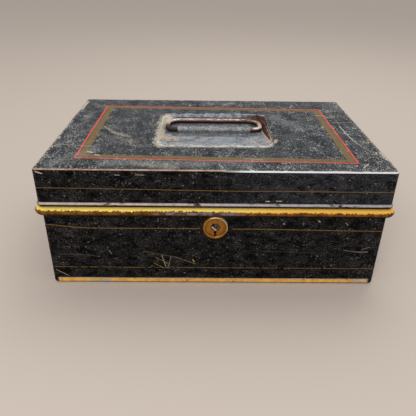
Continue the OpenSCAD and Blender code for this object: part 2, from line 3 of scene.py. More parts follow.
import bpy
import numpy as np
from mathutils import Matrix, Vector


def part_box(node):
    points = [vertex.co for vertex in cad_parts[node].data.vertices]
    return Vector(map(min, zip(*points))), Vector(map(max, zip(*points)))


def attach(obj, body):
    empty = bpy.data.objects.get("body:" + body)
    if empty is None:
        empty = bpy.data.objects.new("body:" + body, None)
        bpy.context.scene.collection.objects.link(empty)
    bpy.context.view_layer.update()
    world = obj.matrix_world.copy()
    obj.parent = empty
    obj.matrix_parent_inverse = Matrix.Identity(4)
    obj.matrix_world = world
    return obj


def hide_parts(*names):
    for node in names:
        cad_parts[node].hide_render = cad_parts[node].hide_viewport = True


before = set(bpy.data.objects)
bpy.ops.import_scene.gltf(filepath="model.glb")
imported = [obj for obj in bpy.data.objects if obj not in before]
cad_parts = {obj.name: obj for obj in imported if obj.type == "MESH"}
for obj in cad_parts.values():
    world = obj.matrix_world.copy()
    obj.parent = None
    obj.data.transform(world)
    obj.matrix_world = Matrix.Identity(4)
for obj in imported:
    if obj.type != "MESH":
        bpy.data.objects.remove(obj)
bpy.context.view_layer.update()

bl_info = {
    "name": "Deed box dressing",
    "version": (1, 0, 0),
    "blender": (4, 5, 0),
    "location": "3D View > Sidebar > Deed box",
    "description": "Japanned finish, lining, wear and pressed shapes of a tin deed box",
    "category": "Object",
}

MM = 0.001


def box_mm(node):
    """Lowest and highest corner of a CAD node at rest, in millimetres."""
    low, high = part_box(node)
    return np.array(low) / MM, np.array(high) / MM


LID_HIGH = box_mm("lid_shell")[1]
PAN_LOW, PAN_HIGH = box_mm("handle_pan")
DRUM_LOW, DRUM_HIGH = box_mm("key_drum")
BOTTOM_LOW, BOTTOM_HIGH = box_mm("body_bottom")
BAIL_LOW, BAIL_HIGH = box_mm("bail_handle")

SHEET = BOTTOM_HIGH[2] - BOTTOM_LOW[2]
TOP_Z = LID_HIGH[2]
ROLL_R = 1.9
ROLL_Z = 85.2
LID_X = LID_HIGH[0] - ROLL_R + SHEET
LID_Y = LID_HIGH[1] - ROLL_R + SHEET
CORNER_R = 3.8
LID_BEND = 1.6
WALL_STEP = 1.7
BODY_X = LID_X - WALL_STEP
BODY_Y = LID_Y - WALL_STEP
BEAD_R = 3.6
BEAD_Z = 78.5
DRUM_Z = float(DRUM_LOW[2] + DRUM_HIGH[2]) / 2

# The opening lies inside the pan's flange, and its front edge further forward
PAN_FLANGE = 6.0
FRONT_FLANGE = 2.6
PAN_X = PAN_HIGH[0] - PAN_FLANGE
PAN_FRONT = -PAN_LOW[1] - FRONT_FLANGE
PAN_BACK = PAN_HIGH[1] - PAN_FLANGE
PAN_CORNER = 11.0

# The pan's floor: its height, its back edge and the folds of its cut front corners
FLOOR_Z = 109.8
FLOOR_BACK = 42.8
FOLD_X = 42.0
FOLD_Y = -4.0
SHOULDER_X = 52.1
SHOULDER_Y = 5.0
NOSE_R = 5.0
HEEL_R = 3.0

BAIL_R = (BAIL_HIGH[2] - BAIL_LOW[2]) / 2
BAIL_X = BAIL_HIGH[0] - BAIL_R
BAIL_Z = (BAIL_HIGH[2] + BAIL_LOW[2]) / 2
HANDLE_Y = 11.0

# The hinge straps pass through windows in the lid's back wall
WINDOW_EDGES = np.array([60.8, 89.2])
WINDOW_TOP = 88.3


def paint(red, green, blue):
    """A display colour from 0 to 255 as the linear colour that a shader takes."""
    shares = np.array([red, green, blue]) / 255.0
    linear = np.where(shares <= 0.04045, shares / 12.92, ((shares + 0.055) / 1.055) ** 2.4)
    return (*linear.tolist(), 1.0)


class Wire:
    """A value on its way through a shader tree. Sums with it add the nodes that work them out."""

    def __init__(self, socket):
        self.socket = socket

    def __add__(self, other):
        return maths("ADD", self, other)

    def __sub__(self, other):
        return maths("SUBTRACT", self, other)

    def __rsub__(self, other):
        return maths("SUBTRACT", other, self)

    def __mul__(self, other):
        return maths("MULTIPLY", self, other)

    def __truediv__(self, other):
        return maths("DIVIDE", self, other)

    def __abs__(self):
        return maths("ABSOLUTE", self)


def feed(socket, value):
    """Links a wire to a socket, or sets a plain value on it."""
    if isinstance(value, Wire):
        socket.id_data.links.new(value.socket, socket)
    else:
        socket.default_value = value


def add_node(tree, kind, inputs=None, **settings):
    """Adds a node, twelve to a row, with its settings and the values of its inputs by key."""
    row, column = divmod(len(tree.nodes), 12)
    node = tree.nodes.new(kind)
    node.location = (180 * column, -220 * row)
    for name, value in settings.items():
        setattr(node, name, value)
    for key, value in (inputs or {}).items():
        feed(node.inputs[key], value)
    return node


def through(kind, inputs, output=0, **settings):
    """The wire out of a new node, which stands in the same tree as the wires that it takes."""
    if not isinstance(inputs, dict):
        inputs = dict(enumerate(inputs))
    tree = next(value.socket.id_data for value in inputs.values() if isinstance(value, Wire))
    return Wire(add_node(tree, kind, inputs, **settings).outputs[output])


def maths(operation, *values):
    return through("ShaderNodeMath", values, operation=operation)


def vector_maths(operation, *values, output=0):
    return through("ShaderNodeVectorMath", values, output, operation=operation)


def most(first, *others):
    for other in others:
        first = maths("MAXIMUM", first, other)
    return first


def fade(value, start, end, low=0.0, high=1.0):
    """Smooth step of value: low at start, high at end."""
    return through("ShaderNodeMapRange", (value, start, end, low, high),
                   interpolation_type="SMOOTHSTEP")


def between(value, low, high, soft):
    """Mask that is 1 where value lies between low and high."""
    return fade(value, low - soft, low + soft) * fade(value, high + soft, high - soft)


def mix(share, under, over):
    """A share of one colour over another. Three numbers are a display colour from 0 to 255."""
    under, over = (paint(*tone) if isinstance(tone, tuple) and len(tone) == 3 else tone
                   for tone in (under, over))
    return through("ShaderNodeMix", {0: share, 6: under, 7: over}, 2, data_type="RGBA")


def lay(colour, *layers):
    """Lays tones over a colour in turn, each given with the mask that lets it show."""
    for mask, tone in layers:
        colour = mix(mask, colour, tone)
    return colour


def blend(share, under, over):
    return through("ShaderNodeMix", {0: share, 2: under, 3: over}, data_type="FLOAT")


def split(vector):
    """The three parts of a vector."""
    node = through("ShaderNodeSeparateXYZ", [vector]).socket.node
    return [Wire(part) for part in node.outputs]


def join(x, y, z):
    return through("ShaderNodeCombineXYZ", (x, y, z))


def stretch(vector, scale, turn=0.0):
    """A pattern's coordinates, turned in their plane and then scaled along each axis."""
    return through("ShaderNodeMapping",
                   {"Vector": vector, "Rotation": (0.0, 0.0, turn), "Scale": scale})


def noise(vector, scale, detail=2.0, roughness=0.5, distortion=0.0):
    return through("ShaderNodeTexNoise", {"Vector": vector, "Scale": scale, "Detail": detail,
                                          "Roughness": roughness, "Distortion": distortion}, "Fac")


# Kinds of the effects' sockets that carry no plain number
SOCKETS = {"Vector": "NodeSocketVector", "Normal": "NodeSocketVector", "From": "NodeSocketVector",
           "To": "NodeSocketVector", "Colour": "NodeSocketColor"}


def effect(name, takes, gives):
    """Turns a function into a node group that is built once and placed with its own values.

    takes and gives list the names of its sockets. The function gets the wires of its inputs and
    returns those of its outputs in order.
    """
    takes, gives = takes.split(", "), gives.split(", ")

    def wrap(fill):
        def build():
            tree = bpy.data.node_groups.new(name, "ShaderNodeTree")
            for way, labels in (("INPUT", takes), ("OUTPUT", gives)):
                for label in labels:
                    tree.interface.new_socket(
                        label, in_out=way, socket_type=SOCKETS.get(label, "NodeSocketFloat"))
            entry = add_node(tree, "NodeGroupInput")
            results = fill(*(Wire(entry.outputs[label]) for label in takes))
            add_node(tree, "NodeGroupOutput", dict(zip(gives, results)))
            return tree

        def place(*values):
            tree = bpy.data.node_groups.get(name) or build()
            node = through("ShaderNodeGroup", values, node_tree=tree).socket.node
            made = [Wire(node.outputs[label]) for label in gives]
            return made[0] if len(made) == 1 else made
        return place
    return wrap


# Faces whose direction rises above STEEP count as tops. The shifts set a pattern apart on each
# side, so that it does not run on round an edge.
STEEP = 0.7
TOP_SHIFT = 37.0
END_SHIFT = 91.0

# How far a face of the walls has to look inwards, and a face has to look down, to be inside
INWARD = -20.0
DOWNWARD = -0.8


@effect("Mottle", "Vector, Scale, Low, High", "Mask")
def mottle(vector, scale, low, high):
    """Cloudy patches: a fine noise, stretched so that Low gives 0 and High gives 1."""
    cloud = noise(vector, scale, detail=5.0, roughness=0.62)
    return [fade(cloud, low, high)]


@effect("Flat coordinates", "Vector, Normal", "Vector")
def flat_coordinates(vector, normal):
    """Coordinates in the plane of each side: x and y on top, the way along and the height on it."""
    x, y, z = split(vector)
    nx, ny, nz = split(normal)
    on_top = maths("GREATER_THAN", abs(nz), STEEP)
    on_end = maths("GREATER_THAN", abs(nx), abs(ny))
    along = blend(on_end * (1.0 - on_top), x, y)
    across = blend(on_top, z, y)
    side = maths("MULTIPLY_ADD", on_top, TOP_SHIFT, on_end * END_SHIFT)
    return [join(along, across, side)]


@effect("Grain", "Vector, Scale, Low, High", "Mask")
def grain(vector, scale, low, high):
    """Fine flecks: a rough noise cut off high, more of it where a slow noise is high."""
    fleck = noise(vector, scale, detail=3.0, roughness=0.75, distortion=0.5)
    patch = noise(vector, scale * 0.12, detail=3.0, roughness=0.6)
    level = maths("MULTIPLY_ADD", patch - 0.5, 0.4, fleck)
    return [fade(level, low, high)]


@effect("Worm marks", "Vector, Scale, Width, Low, High", "Mask")
def worm_marks(vector, scale, width, low, high):
    """Short curly rub marks: level lines of a twisted noise, seen only in patches."""
    level = noise(vector, scale, detail=2.0, roughness=0.6, distortion=1.1)
    line = fade(abs(level - 0.5), width, 0.0)
    patch = noise(vector, scale * 0.16, detail=4.0, roughness=0.65)
    return [line * fade(patch, low, high)]


@effect("Scratches", "Vector, Turn, Length, Gap, Fineness, Amount", "Mask")
def scratches(vector, turn, length, gap, fineness, amount):
    """Long thin marks along one direction: level lines of a stretched noise, seen in patches."""
    x, y, z = split(through("ShaderNodeVectorRotate", {"Vector": vector, "Angle": turn},
                            rotation_type="Z_AXIS"))
    level = noise(join(x / length, y / gap, z), 1.0, detail=1.0)
    line = fade(abs(level - 0.5), fineness, 0.0)
    patch = noise(vector, 0.07, detail=4.0, roughness=0.6)
    limit = 0.75 - amount * 0.4
    return [line * fade(patch, limit, limit + 0.08)]


@effect("Specks", "Vector, Scale, Size", "Mask")
def specks(vector, scale, size):
    """Small spots of uneven size: cells whose centre is near, each with a radius of its own."""
    bent = noise(vector, 1.3, detail=2.0) - 0.5
    bend = vector_maths("ADD", vector, join(bent * 2.4, bent * -1.6, 0.0))
    cell = through("ShaderNodeTexVoronoi", {"Vector": bend, "Scale": scale}, "Color", feature="F1")
    distance = Wire(cell.socket.node.outputs["Distance"])
    pick = split(cell)[0]
    ragged = noise(vector, 1.1, detail=2.0)
    radius = size * pick * pick * pick * pick * fade(ragged, 0.3, 0.7)
    return [fade(distance, radius, radius * 0.4)]


@effect("Edge rub", "Vector, Distance, Reach, Grain", "Mask")
def edge_rub(vector, distance, reach, grain):
    """Wear that eats in from an edge: seen where the distance is under a noisy reach."""
    cloud = noise(vector, grain, detail=5.0, roughness=0.65)
    return [fade(distance - reach * fade(cloud, 0.36, 0.72), 0.12, -0.12)]


@effect("Lining", "Vector, Distance, Half width, Wear", "Mask")
def lining(vector, distance, half_width, wear):
    """A line drawn by hand: its middle wanders, its width swells, and it is worn in places."""
    sway = noise(vector, 0.03, detail=2.0) - 0.5
    swell = noise(vector, 0.35, detail=3.0) - 0.5
    middle = abs(maths("MULTIPLY_ADD", sway, 0.6, distance))
    edge = maths("MULTIPLY_ADD", swell, 0.35, half_width)
    line = fade(middle - edge, 0.1, -0.1)
    cloud = noise(vector, 0.22, detail=5.0, roughness=0.7)
    limit = 0.8 - wear * 0.5
    kept = fade(cloud, limit + 0.06, limit - 0.06)
    return [line * kept]


@effect("Streak", "Vector, Ragged, Broken, From, To, Half width, Breaks", "Mask")
def streak(vector, ragged, broken, start, end, half_width, breaks):
    """One scratch or smear between two points: near its line, and uneven where the noises say."""
    run = vector_maths("SUBTRACT", end, start)
    away = vector_maths("SUBTRACT", vector, start)
    along = vector_maths("DOT_PRODUCT", away, run, output=1)
    share = along / vector_maths("DOT_PRODUCT", run, run, output=1)
    share = maths("MINIMUM", most(share, 0.0), 1.0)
    foot = through("ShaderNodeVectorMath", {0: run, "Scale": share}, operation="SCALE")
    distance = vector_maths("LENGTH", vector_maths("SUBTRACT", away, foot), output=1)
    width = half_width * fade(ragged, 0.25, 0.75, 0.3, 1.5)
    line = fade(distance, width, width * 0.5)
    limit = breaks * 0.7
    return [line * fade(broken, limit - 0.05, limit + 0.05)]


@effect("Box edges", "Vector, Half width, Half depth, Top", "Top edge, Corner")
def box_edges(vector, half_width, half_depth, top):
    """Distance in millimetres from the top edges, and from the upright corners, of a box."""
    x, y, z = split(vector)
    in_x = half_width - abs(x)
    in_y = half_depth - abs(y)
    return [most(top - z, maths("MINIMUM", in_x, in_y)), most(in_x, in_y)]


@effect("Rim distance", "Vector, Half width, Half depth, Middle, Radius", "Distance")
def rim_distance(vector, half_width, half_depth, middle, radius):
    """How far a point lies outside a rectangle with round corners, negative inside it."""
    x, y = split(vector)[:2]
    out_x = abs(x) - half_width
    out_y = abs(y - middle) - half_depth
    beyond = join(most(out_x, 0.0), most(out_y, 0.0), 0.0)
    inner = maths("MINIMUM", most(out_x, out_y), 0.0)
    reach = vector_maths("LENGTH", beyond, output=1) + inner
    return [reach - radius]


@effect("Inside", "Vector, Normal", "Mask")
def inside_of(vector, normal):
    """1 on faces that look towards the middle of the box, and on undersides."""
    x, y = split(vector)[:2]
    nx, ny, nz = split(normal)
    outward = x * nx + y * ny
    return [most(maths("LESS_THAN", outward, INWARD), maths("LESS_THAN", nz, DOWNWARD))]


@effect("Dark japan", "Vector", "Colour, Roughness, Height")
def dark_japan(flat):
    """Old black japan on upright faces: deep black under curly grey rubs and a few pale chips."""
    cloud = mottle(flat, 0.05, 0.35, 0.7)
    streaks = mottle(stretch(flat, (0.16, 1.0, 1.0)), 0.6, 0.5, 0.75)
    small = worm_marks(stretch(flat, (0.7, 1.2, 1.0), 0.6), 0.8, 0.09, 0.4, 0.6)
    flecks = grain(flat, 0.6, 0.56, 0.68)
    dust = grain(stretch(flat, (0.6, 1.0, 1.0)), 0.9, 0.6, 0.68)
    fine = scratches(flat, 0.12, 14.0, 2.2, 0.02, 0.5)
    steep = scratches(flat, 1.1, 11.0, 3.5, 0.014, 0.35)
    dots = specks(flat, 0.36, 0.62)
    marks = most(fine, steep)
    colour = lay(mix(cloud, (3, 3, 4), (9, 9, 10)),
                 (streaks * 0.2, (44, 43, 44)),
                 (flecks * 0.4, (80, 77, 77)),
                 (small * 0.4, (78, 74, 73)),
                 (dust * 0.6, (112, 108, 105)),
                 (marks * 0.35, (104, 97, 92)),
                 (dots * 0.6, (142, 134, 122)))
    worn = most(flecks, small)
    height = cloud * 0.25 - most(marks, dots) * 0.12
    return [colour, blend(worn, 0.4, 0.6), height]


@effect("Dust and sheen japan", "Vector, Worn", "Colour, Roughness, Height")
def dust_and_sheen_japan(flat, worn):
    """Japan on top faces: blue-grey, part dust and part painted sheen, with dust in its fine
    scuffs, paler where Worn is near 1.
    """
    deep = stretch(flat, (1.0, 0.6, 1.0))
    film = mottle(flat, 0.03, 0.3, 0.72)
    cloud = mottle(deep, 0.25, 0.38, 0.7)
    small = worm_marks(stretch(flat, (0.8, 0.7, 1.0), 0.5), 0.75, 0.1, 0.38, 0.6)
    broad = grain(deep, 0.45, 0.56, 0.7)
    flecks = grain(deep, 0.7, 0.575, 0.64)
    white = grain(stretch(flat, (0.9, 0.6, 1.0), 0.7), 0.95, 0.6, 0.66)
    brushed = mottle(stretch(flat, (0.1, 0.8, 1.0)), 0.6, 0.46, 0.7)
    along = scratches(flat, 0.05, 18.0, 2.6, 0.028, 0.7)
    slant = scratches(flat, 0.9, 12.0, 3.4, 0.018, 0.55)
    dots = specks(deep, 0.4, 0.7)
    marks = most(along, slant)
    colour = lay(mix(film, (18, 21, 27), (34, 39, 48)),
                 (cloud * 0.2, (60, 67, 78)),
                 (brushed * 0.35, (84, 93, 107)),
                 (broad * fade(worn, 0.0, 1.0, 0.25, 0.5), (108, 112, 118)),
                 (flecks * fade(worn, 0.0, 1.0, 0.55, 0.85), (156, 157, 156)),
                 (small * 0.3, (140, 142, 143)),
                 (white * fade(worn, 0.0, 1.0, 0.7, 1.0), (226, 220, 208)),
                 (marks * 0.3, (146, 146, 144)),
                 (dots * 0.75, (206, 198, 180)))
    height = film * 0.25 - most(marks, dots) * 0.1
    return [colour, blend(flecks, 0.4, 0.58), height]


class Finish:
    """A material under way: its tree, and the place and direction of a point."""

    def __init__(self, name):
        self.material = bpy.data.materials.new(name)
        self.material.use_nodes = True
        self.tree = self.material.node_tree
        self.tree.nodes.clear()
        place = add_node(self.tree, "ShaderNodeTexCoord")
        self.point = stretch(Wire(place.outputs["Object"]), (1 / MM, 1 / MM, 1 / MM))
        self.normal = Wire(place.outputs["Normal"])
        self.flat = flat_coordinates(self.point, self.normal)

    def close(self, colour, roughness, metallic, height, bump, gloss=1.5):
        """Adds the shader. height is in millimetres, bump is its strength and gloss is the IOR."""
        relief = add_node(self.tree, "ShaderNodeBump",
                          {"Distance": MM, "Strength": bump, "Height": height})
        body = add_node(self.tree, "ShaderNodeBsdfPrincipled",
                        {"Base Color": colour, "Roughness": roughness, "Metallic": metallic,
                         "IOR": gloss, "Normal": Wire(relief.outputs[0])})
        add_node(self.tree, "ShaderNodeOutputMaterial", {0: Wire(body.outputs[0])})
        return self.material


def dress(node, material):
    """Gives a CAD node its finish."""
    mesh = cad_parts[node].data
    mesh.materials.clear()
    mesh.materials.append(material)


def draw_streaks(colour, plane, marks, mask):
    """Lays each mark over the colour, where the mask lets it."""
    ragged = noise(plane, 0.5, detail=4.0, roughness=0.7)
    broken = noise(plane, 1.1, detail=3.0, roughness=0.75)
    for x0, y0, x1, y1, half_width, breaks, share, tone in marks:
        line = streak(plane, ragged, broken, (x0, y0, 0.0), (x1, y1, 0.0), half_width, breaks)
        colour = mix(line * mask * share, colour, tone)
    return colour


CREAM = (206, 198, 178)
PALE = (172, 172, 168)
TAN = (150, 124, 88)
OLIVE = (140, 130, 92)

# Marks on the lid's top: the x and y of both ends and the half width in millimetres, how broken
# the mark is, its share of the colour under it and its tone
TOP_MARKS = (
    (131.9, 12.3, 132.6, -10.5, 0.6, 0.2, 1.0, (222, 214, 194)),
    (132.6, -10.5, 134.0, -30.4, 0.55, 0.2, 1.0, (222, 214, 194)),
    (134.0, -30.4, 137.5, -45.1, 0.5, 0.25, 0.9, CREAM),
    (137.5, -45.1, 145.1, -64.9, 0.3, 0.5, 0.4, CREAM),
    (134.2, 76.0, 132.5, 16.0, 0.35, 0.42, 0.75, OLIVE),
    (-133.4, -75.0, -133.2, -24.0, 0.35, 0.42, 0.75, OLIVE),
    (-133.2, 26.0, -133.0, 53.0, 0.32, 0.45, 0.6, OLIVE),
    (-130.0, -93.0, 128.0, -92.6, 0.3, 0.6, 0.5, OLIVE),
    (129.4, 24.8, 148.6, 24.0, 0.7, 0.62, 0.8, PALE),
    (124.1, -96.0, 131.4, -86.5, 0.8, 0.5, 0.85, CREAM),
    (9.3, -74.2, 16.7, -56.2, 0.7, 0.6, 0.6, PALE),
    (18.0, -76.0, 29.0, -58.0, 0.5, 0.62, 0.5, PALE),
    (70.9, -57.9, 77.0, -53.1, 0.5, 0.5, 0.8, PALE),
    (111.0, 48.0, 121.5, 48.3, 0.8, 0.45, 0.7, CREAM),
    (-144.2, -47.4, -123.6, -50.7, 1.2, 0.62, 0.6, PALE),
    (-123.6, -50.7, -110.0, -51.7, 1.5, 0.64, 0.5, PALE),
    (-112.0, 3.0, -100.0, -14.0, 2.6, 0.74, 0.85, CREAM),
    (-100.0, -14.0, -84.0, -25.0, 3.8, 0.745, 0.9, CREAM),
    (-94.0, -28.0, -74.0, -40.0, 5.4, 0.79, 0.7, CREAM),
    (-100.0, -34.0, -70.0, -50.0, 7.0, 0.82, 0.6, CREAM),
    (-69.6, -90.0, -36.0, -97.0, 7.0, 0.76, 0.85, CREAM),
    (-90.0, -88.0, -10.0, -92.0, 9.0, 0.78, 0.8, PALE),
    (-20.0, -88.0, 40.0, -84.0, 7.0, 0.78, 0.7, PALE),
    (-140.0, -92.0, -110.0, -62.0, 9.0, 0.78, 0.7, PALE),
    (-114.5, -65.5, -110.0, -66.5, 1.6, 0.5, 0.9, CREAM),
    (-106.5, -72.0, -103.0, -73.5, 1.4, 0.55, 0.9, CREAM),
    (57.0, -38.5, 59.5, -31.0, 2.2, 0.4, 0.9, (186, 172, 152)),
    (66.0, 40.0, 92.0, 2.0, 9.0, 0.76, 0.6, PALE),
    (140.0, 96.0, 146.0, 66.0, 6.0, 0.66, 0.4, (128, 136, 146)),
    (-149.6, 62.0, -149.6, 94.0, 2.2, 0.52, 0.95, CREAM),
    (-149.8, -32.0, -149.8, -28.0, 1.8, 0.4, 0.9, CREAM),
    (150.2, -78.0, 150.4, -60.0, 1.5, 0.55, 0.95, CREAM),
    (24.0, -77.5, 40.0, -79.5, 0.8, 0.55, 0.7, (190, 186, 168)),
    (31.4, -46.0, 35.2, -45.6, 1.5, 0.0, 1.0, (255, 252, 240)),
)

# Marks on the body's front, by x and z
FRONT_MARKS = (
    (-54.2, 29.3, -42.9, 23.2, 0.35, 0.35, 0.7, TAN),
    (-64.4, 35.9, -36.0, 30.0, 0.28, 0.5, 0.5, TAN),
    (-36.0, 30.0, -17.0, 22.3, 0.35, 0.35, 0.75, TAN),
    (-48.2, 31.6, -44.9, 18.6, 0.4, 0.3, 0.85, (178, 160, 132)),
    (-40.0, 30.0, -43.1, 17.5, 0.4, 0.35, 0.8, TAN),
    (-55.8, 23.1, -46.8, 17.5, 0.4, 0.35, 0.75, TAN),
    (-20.0, 27.0, -18.4, 24.5, 0.6, 0.2, 0.9, (190, 160, 110)),
    (-146.8, 15.0, -136.1, 8.1, 0.5, 0.3, 0.85, (160, 132, 112)),
    (-141.0, 32.5, -122.0, 32.4, 0.3, 0.45, 0.6, (110, 104, 100)),
    (-122.0, 32.4, -104.9, 30.0, 0.3, 0.45, 0.5, (110, 104, 100)),
    (-96.5, 37.2, -93.7, 32.9, 0.45, 0.3, 0.7, (132, 126, 120)),
    (-92.0, 27.5, -88.0, 29.0, 0.4, 0.4, 0.6, (132, 120, 108)),
    (118.0, 38.6, 130.0, 36.8, 0.4, 0.35, 0.7, (130, 124, 116)),
    (130.0, 36.8, 140.3, 37.0, 0.5, 0.3, 0.8, (140, 132, 124)),
    (134.0, 39.5, 141.5, 42.5, 0.45, 0.4, 0.7, (130, 124, 116)),
    (42.0, 37.4, 92.0, 35.4, 0.28, 0.55, 0.45, (96, 92, 88)),
    (91.0, 69.2, 92.2, 68.8, 0.9, 0.2, 0.95, (178, 150, 128)),
    (60.0, 66.4, 61.2, 66.0, 0.7, 0.2, 0.9, (150, 146, 140)),
    (115.2, 67.6, 117.2, 65.6, 0.6, 0.2, 0.8, (140, 132, 118)),
)

# Marks on the lid's front, by x and z
LID_FRONT_MARKS = (
    (-148.5, 115.4, -144.0, 113.6, 0.9, 0.2, 0.95, (176, 160, 146)),
    (-84.0, 113.0, -80.0, 113.0, 0.6, 0.3, 0.9, (150, 132, 112)),
    (-66.0, 113.4, -60.0, 113.0, 0.6, 0.3, 0.9, (140, 126, 110)),
    (42.7, 89.4, 45.4, 89.6, 0.5, 0.2, 0.95, (210, 196, 168)),
    (51.5, 89.8, 56.3, 89.7, 0.45, 0.3, 0.9, (196, 186, 170)),
)

# Marks on the handle pan, by x and y
PAN_MARKS = (
    (31.4, -46.0, 35.2, -45.6, 1.8, 0.0, 1.0, (255, 252, 240)),
    (2.0, -47.0, 22.0, -47.0, 0.9, 0.45, 0.9, (206, 200, 184)),
    (-42.0, -32.0, -24.0, -42.0, 2.4, 0.55, 0.8, (190, 184, 168)),
    (-12.0, -47.0, -4.0, -46.0, 1.4, 0.5, 0.8, (196, 186, 170)),
    (42.0, -38.0, 36.0, -10.0, 0.8, 0.35, 0.8, (214, 206, 196)),
)


def lid_finish(looks):
    """Black japan of the lid: dusty top with its lining, dark walls and a bare rolled edge."""
    finish = Finish("japan_lid")
    point, flat = finish.point, finish.flat
    x, y, z = split(point)
    nz = split(finish.normal)[2]
    wall_colour, wall_rough, wall_height = dark_japan(flat)
    top_edge, corner = box_edges(point, LID_X, LID_Y, TOP_Z)
    margin = fade(top_edge, 34.0, 8.0)
    # The right of the top is made paler as painted light. It goes into the same input as the worn
    # margin.
    right = fade(x, -60.0, 140.0, 0.0, 0.4)
    top_colour, top_rough, top_height = dust_and_sheen_japan(flat, most(margin, right))
    # The top takes the blue-grey japan, part dust and part painted sheen.
    top = fade(nz, 0.45, 0.75)
    colour = mix(top, wall_colour, top_colour)
    rough = blend(top, wall_rough, top_rough)
    height = blend(top, wall_height, top_height)
    tint = mottle(point, 0.2, 0.35, 0.7)

    # Lining on the top: a red line and a gold band inside it
    skewed = maths("MULTIPLY_ADD", x, looks.lining_skew, y)
    middle = (looks.lining_back - looks.lining_front) / 2 / MM
    half = (looks.lining_back + looks.lining_front) / 2 / MM
    from_middle = abs(skewed - middle)
    side = looks.lining_side / MM
    border = most(abs(x) - side, from_middle - half)
    red_half = looks.red_width / 2 / MM
    gold_half = looks.gold_width / 2 / MM
    gold_in = 2 * red_half + looks.line_gap / MM + gold_half
    red = lining(point, border + red_half, red_half, 0.3)
    gold = lining(point, border + gold_in, gold_half, 0.34)
    olive = lay(mix(mottle(flat, 0.9, 0.35, 0.65), tuple(looks.top_gold), (146, 124, 84)),
                (grain(flat, 0.8, 0.55, 0.68) * 0.5, (84, 74, 62)))
    colour = lay(colour, (gold * top * 0.88, olive), (red * top * 0.95, tuple(looks.red_line)))
    colour = draw_streaks(colour, join(x, y, 0.0), TOP_MARKS, top)

    # The thin gold line on the front and the ends, rising a little to the left
    wall = 1.0 - top
    seen = fade(y, LID_Y - 6.0, LID_Y - 7.0)
    rise = fade(x, 40.0, -150.0, 0.0, 1.6)
    thin = lining(point, z - looks.lid_line / MM - rise, 0.28, 0.3)
    colour = mix(thin * wall * seen * 0.8, colour, tuple(looks.thin_gold))
    front = wall * fade(y, -LID_Y + 2.0, -LID_Y + 1.0)
    colour = draw_streaks(colour, join(x, z, 0.0), LID_FRONT_MARKS, front)
    hairs = worm_marks(stretch(flat, (0.8, 1.1, 1.0), 0.3), 1.0, 0.09, 0.36, 0.55)
    colour = mix(front * hairs * fade(x, -20.0, 60.0, 0.0, 0.18), colour, (124, 134, 146))

    # Edges rubbed through to the tin and to rust, with a white painted highlight on the bare tin
    # along the right of the front edge
    at_front = fade(y, -LID_Y + 4.0, -LID_Y + 2.5)
    rub = edge_rub(point, top_edge, 3.0, 0.11)
    reach = fade(y, LID_Y - 9.0, LID_Y - 6.0, 4.2, 4.6)
    line = edge_rub(point, top_edge, reach, 0.5) * (1.0 - at_front)
    nick = edge_rub(point, corner, 2.6, 0.16) * wall
    bare = mix(tint, (204, 192, 176), (164, 128, 108))
    worn = most(rub, line) * fade(nz, blend(at_front, 0.0, 0.6), blend(at_front, 0.3, 0.9))
    colour = lay(colour, (worn * 0.85, bare), (nick * 0.7, (96, 72, 60)))
    edge_line = at_front * fade(top_edge, 2.3, 1.9)
    left_line = edge_line * fade(x, 14.0, -10.0) * fade(nz, 0.62, 0.85)
    # Painted highlight along the right half of the front edge.
    right_line_highlight = edge_line * fade(x, 0.0, 30.0) * between(nz, 0.3, 0.95, 0.06)
    rust = mix(tint, (176, 124, 100), (206, 182, 160))
    colour = lay(colour, (left_line * 0.9, rust), (right_line_highlight, (232, 234, 234)))
    metal = most(worn * 0.3, right_line_highlight * 0.4)

    # The opening's rim: cream and worn on the left, a bluish white painted highlight behind, a thin
    # line elsewhere
    from_rim = rim_distance(point, PAN_X - PAN_CORNER, (PAN_BACK + PAN_FRONT) / 2 - PAN_CORNER,
                            (PAN_BACK - PAN_FRONT) / 2, PAN_CORNER)
    cream = mix(tint, (214, 208, 192), (186, 168, 142))
    left_rim = edge_rub(point, from_rim, 6.5, 0.5) * fade(x, -44.0, -52.0)
    back_rim_highlight = edge_rub(point, from_rim, 8.0, 0.2) * fade(y, 42.0, 45.0)
    thin_rim = edge_rub(point, from_rim, 2.2, 0.6)
    colour = lay(colour,
                 (thin_rim * top * 0.6, (160, 158, 154)),
                 (back_rim_highlight * top * 0.8, (168, 178, 192)),
                 (left_rim * top * 0.85, cream))

    # The roll round the wire: dark, as painted shade on its lower side. Where hands and shelves
    # rubbed it bare, its upper side is bright as a painted highlight
    outside = 1.0 - inside_of(point, finish.normal)
    on_roll = fade(z, ROLL_Z + 2.0, ROLL_Z + 1.7) * outside
    # Painted highlight: the rubbed metal is bright only where it faces up.
    shine = on_roll * fade(nz, -0.3, 0.3)
    behind = fade(y, -LID_Y + 6.0, -LID_Y + 40.0)
    roll_patches = noise(stretch(point, (0.3, 0.3, 1.0)), 0.3, detail=3.0)
    roll_wear = fade(roll_patches - behind * 0.18, 0.3, 0.44)
    rolled = lay(mix(fade(x, -60.0, 40.0), (188, 175, 168), (184, 181, 186)),
                 (tint * 0.5, (142, 120, 110)))
    bright_roll = shine * roll_wear
    colour = lay(colour, (on_roll, (40, 28, 23)), (bright_roll, rolled))
    metal = most(metal, bright_roll * 0.25) * outside
    rough = blend(most(worn, bright_roll), rough, 0.42)

    # Inside of the lid
    colour = mix(outside, mix(tint, (30, 27, 25), (48, 43, 38)), colour)

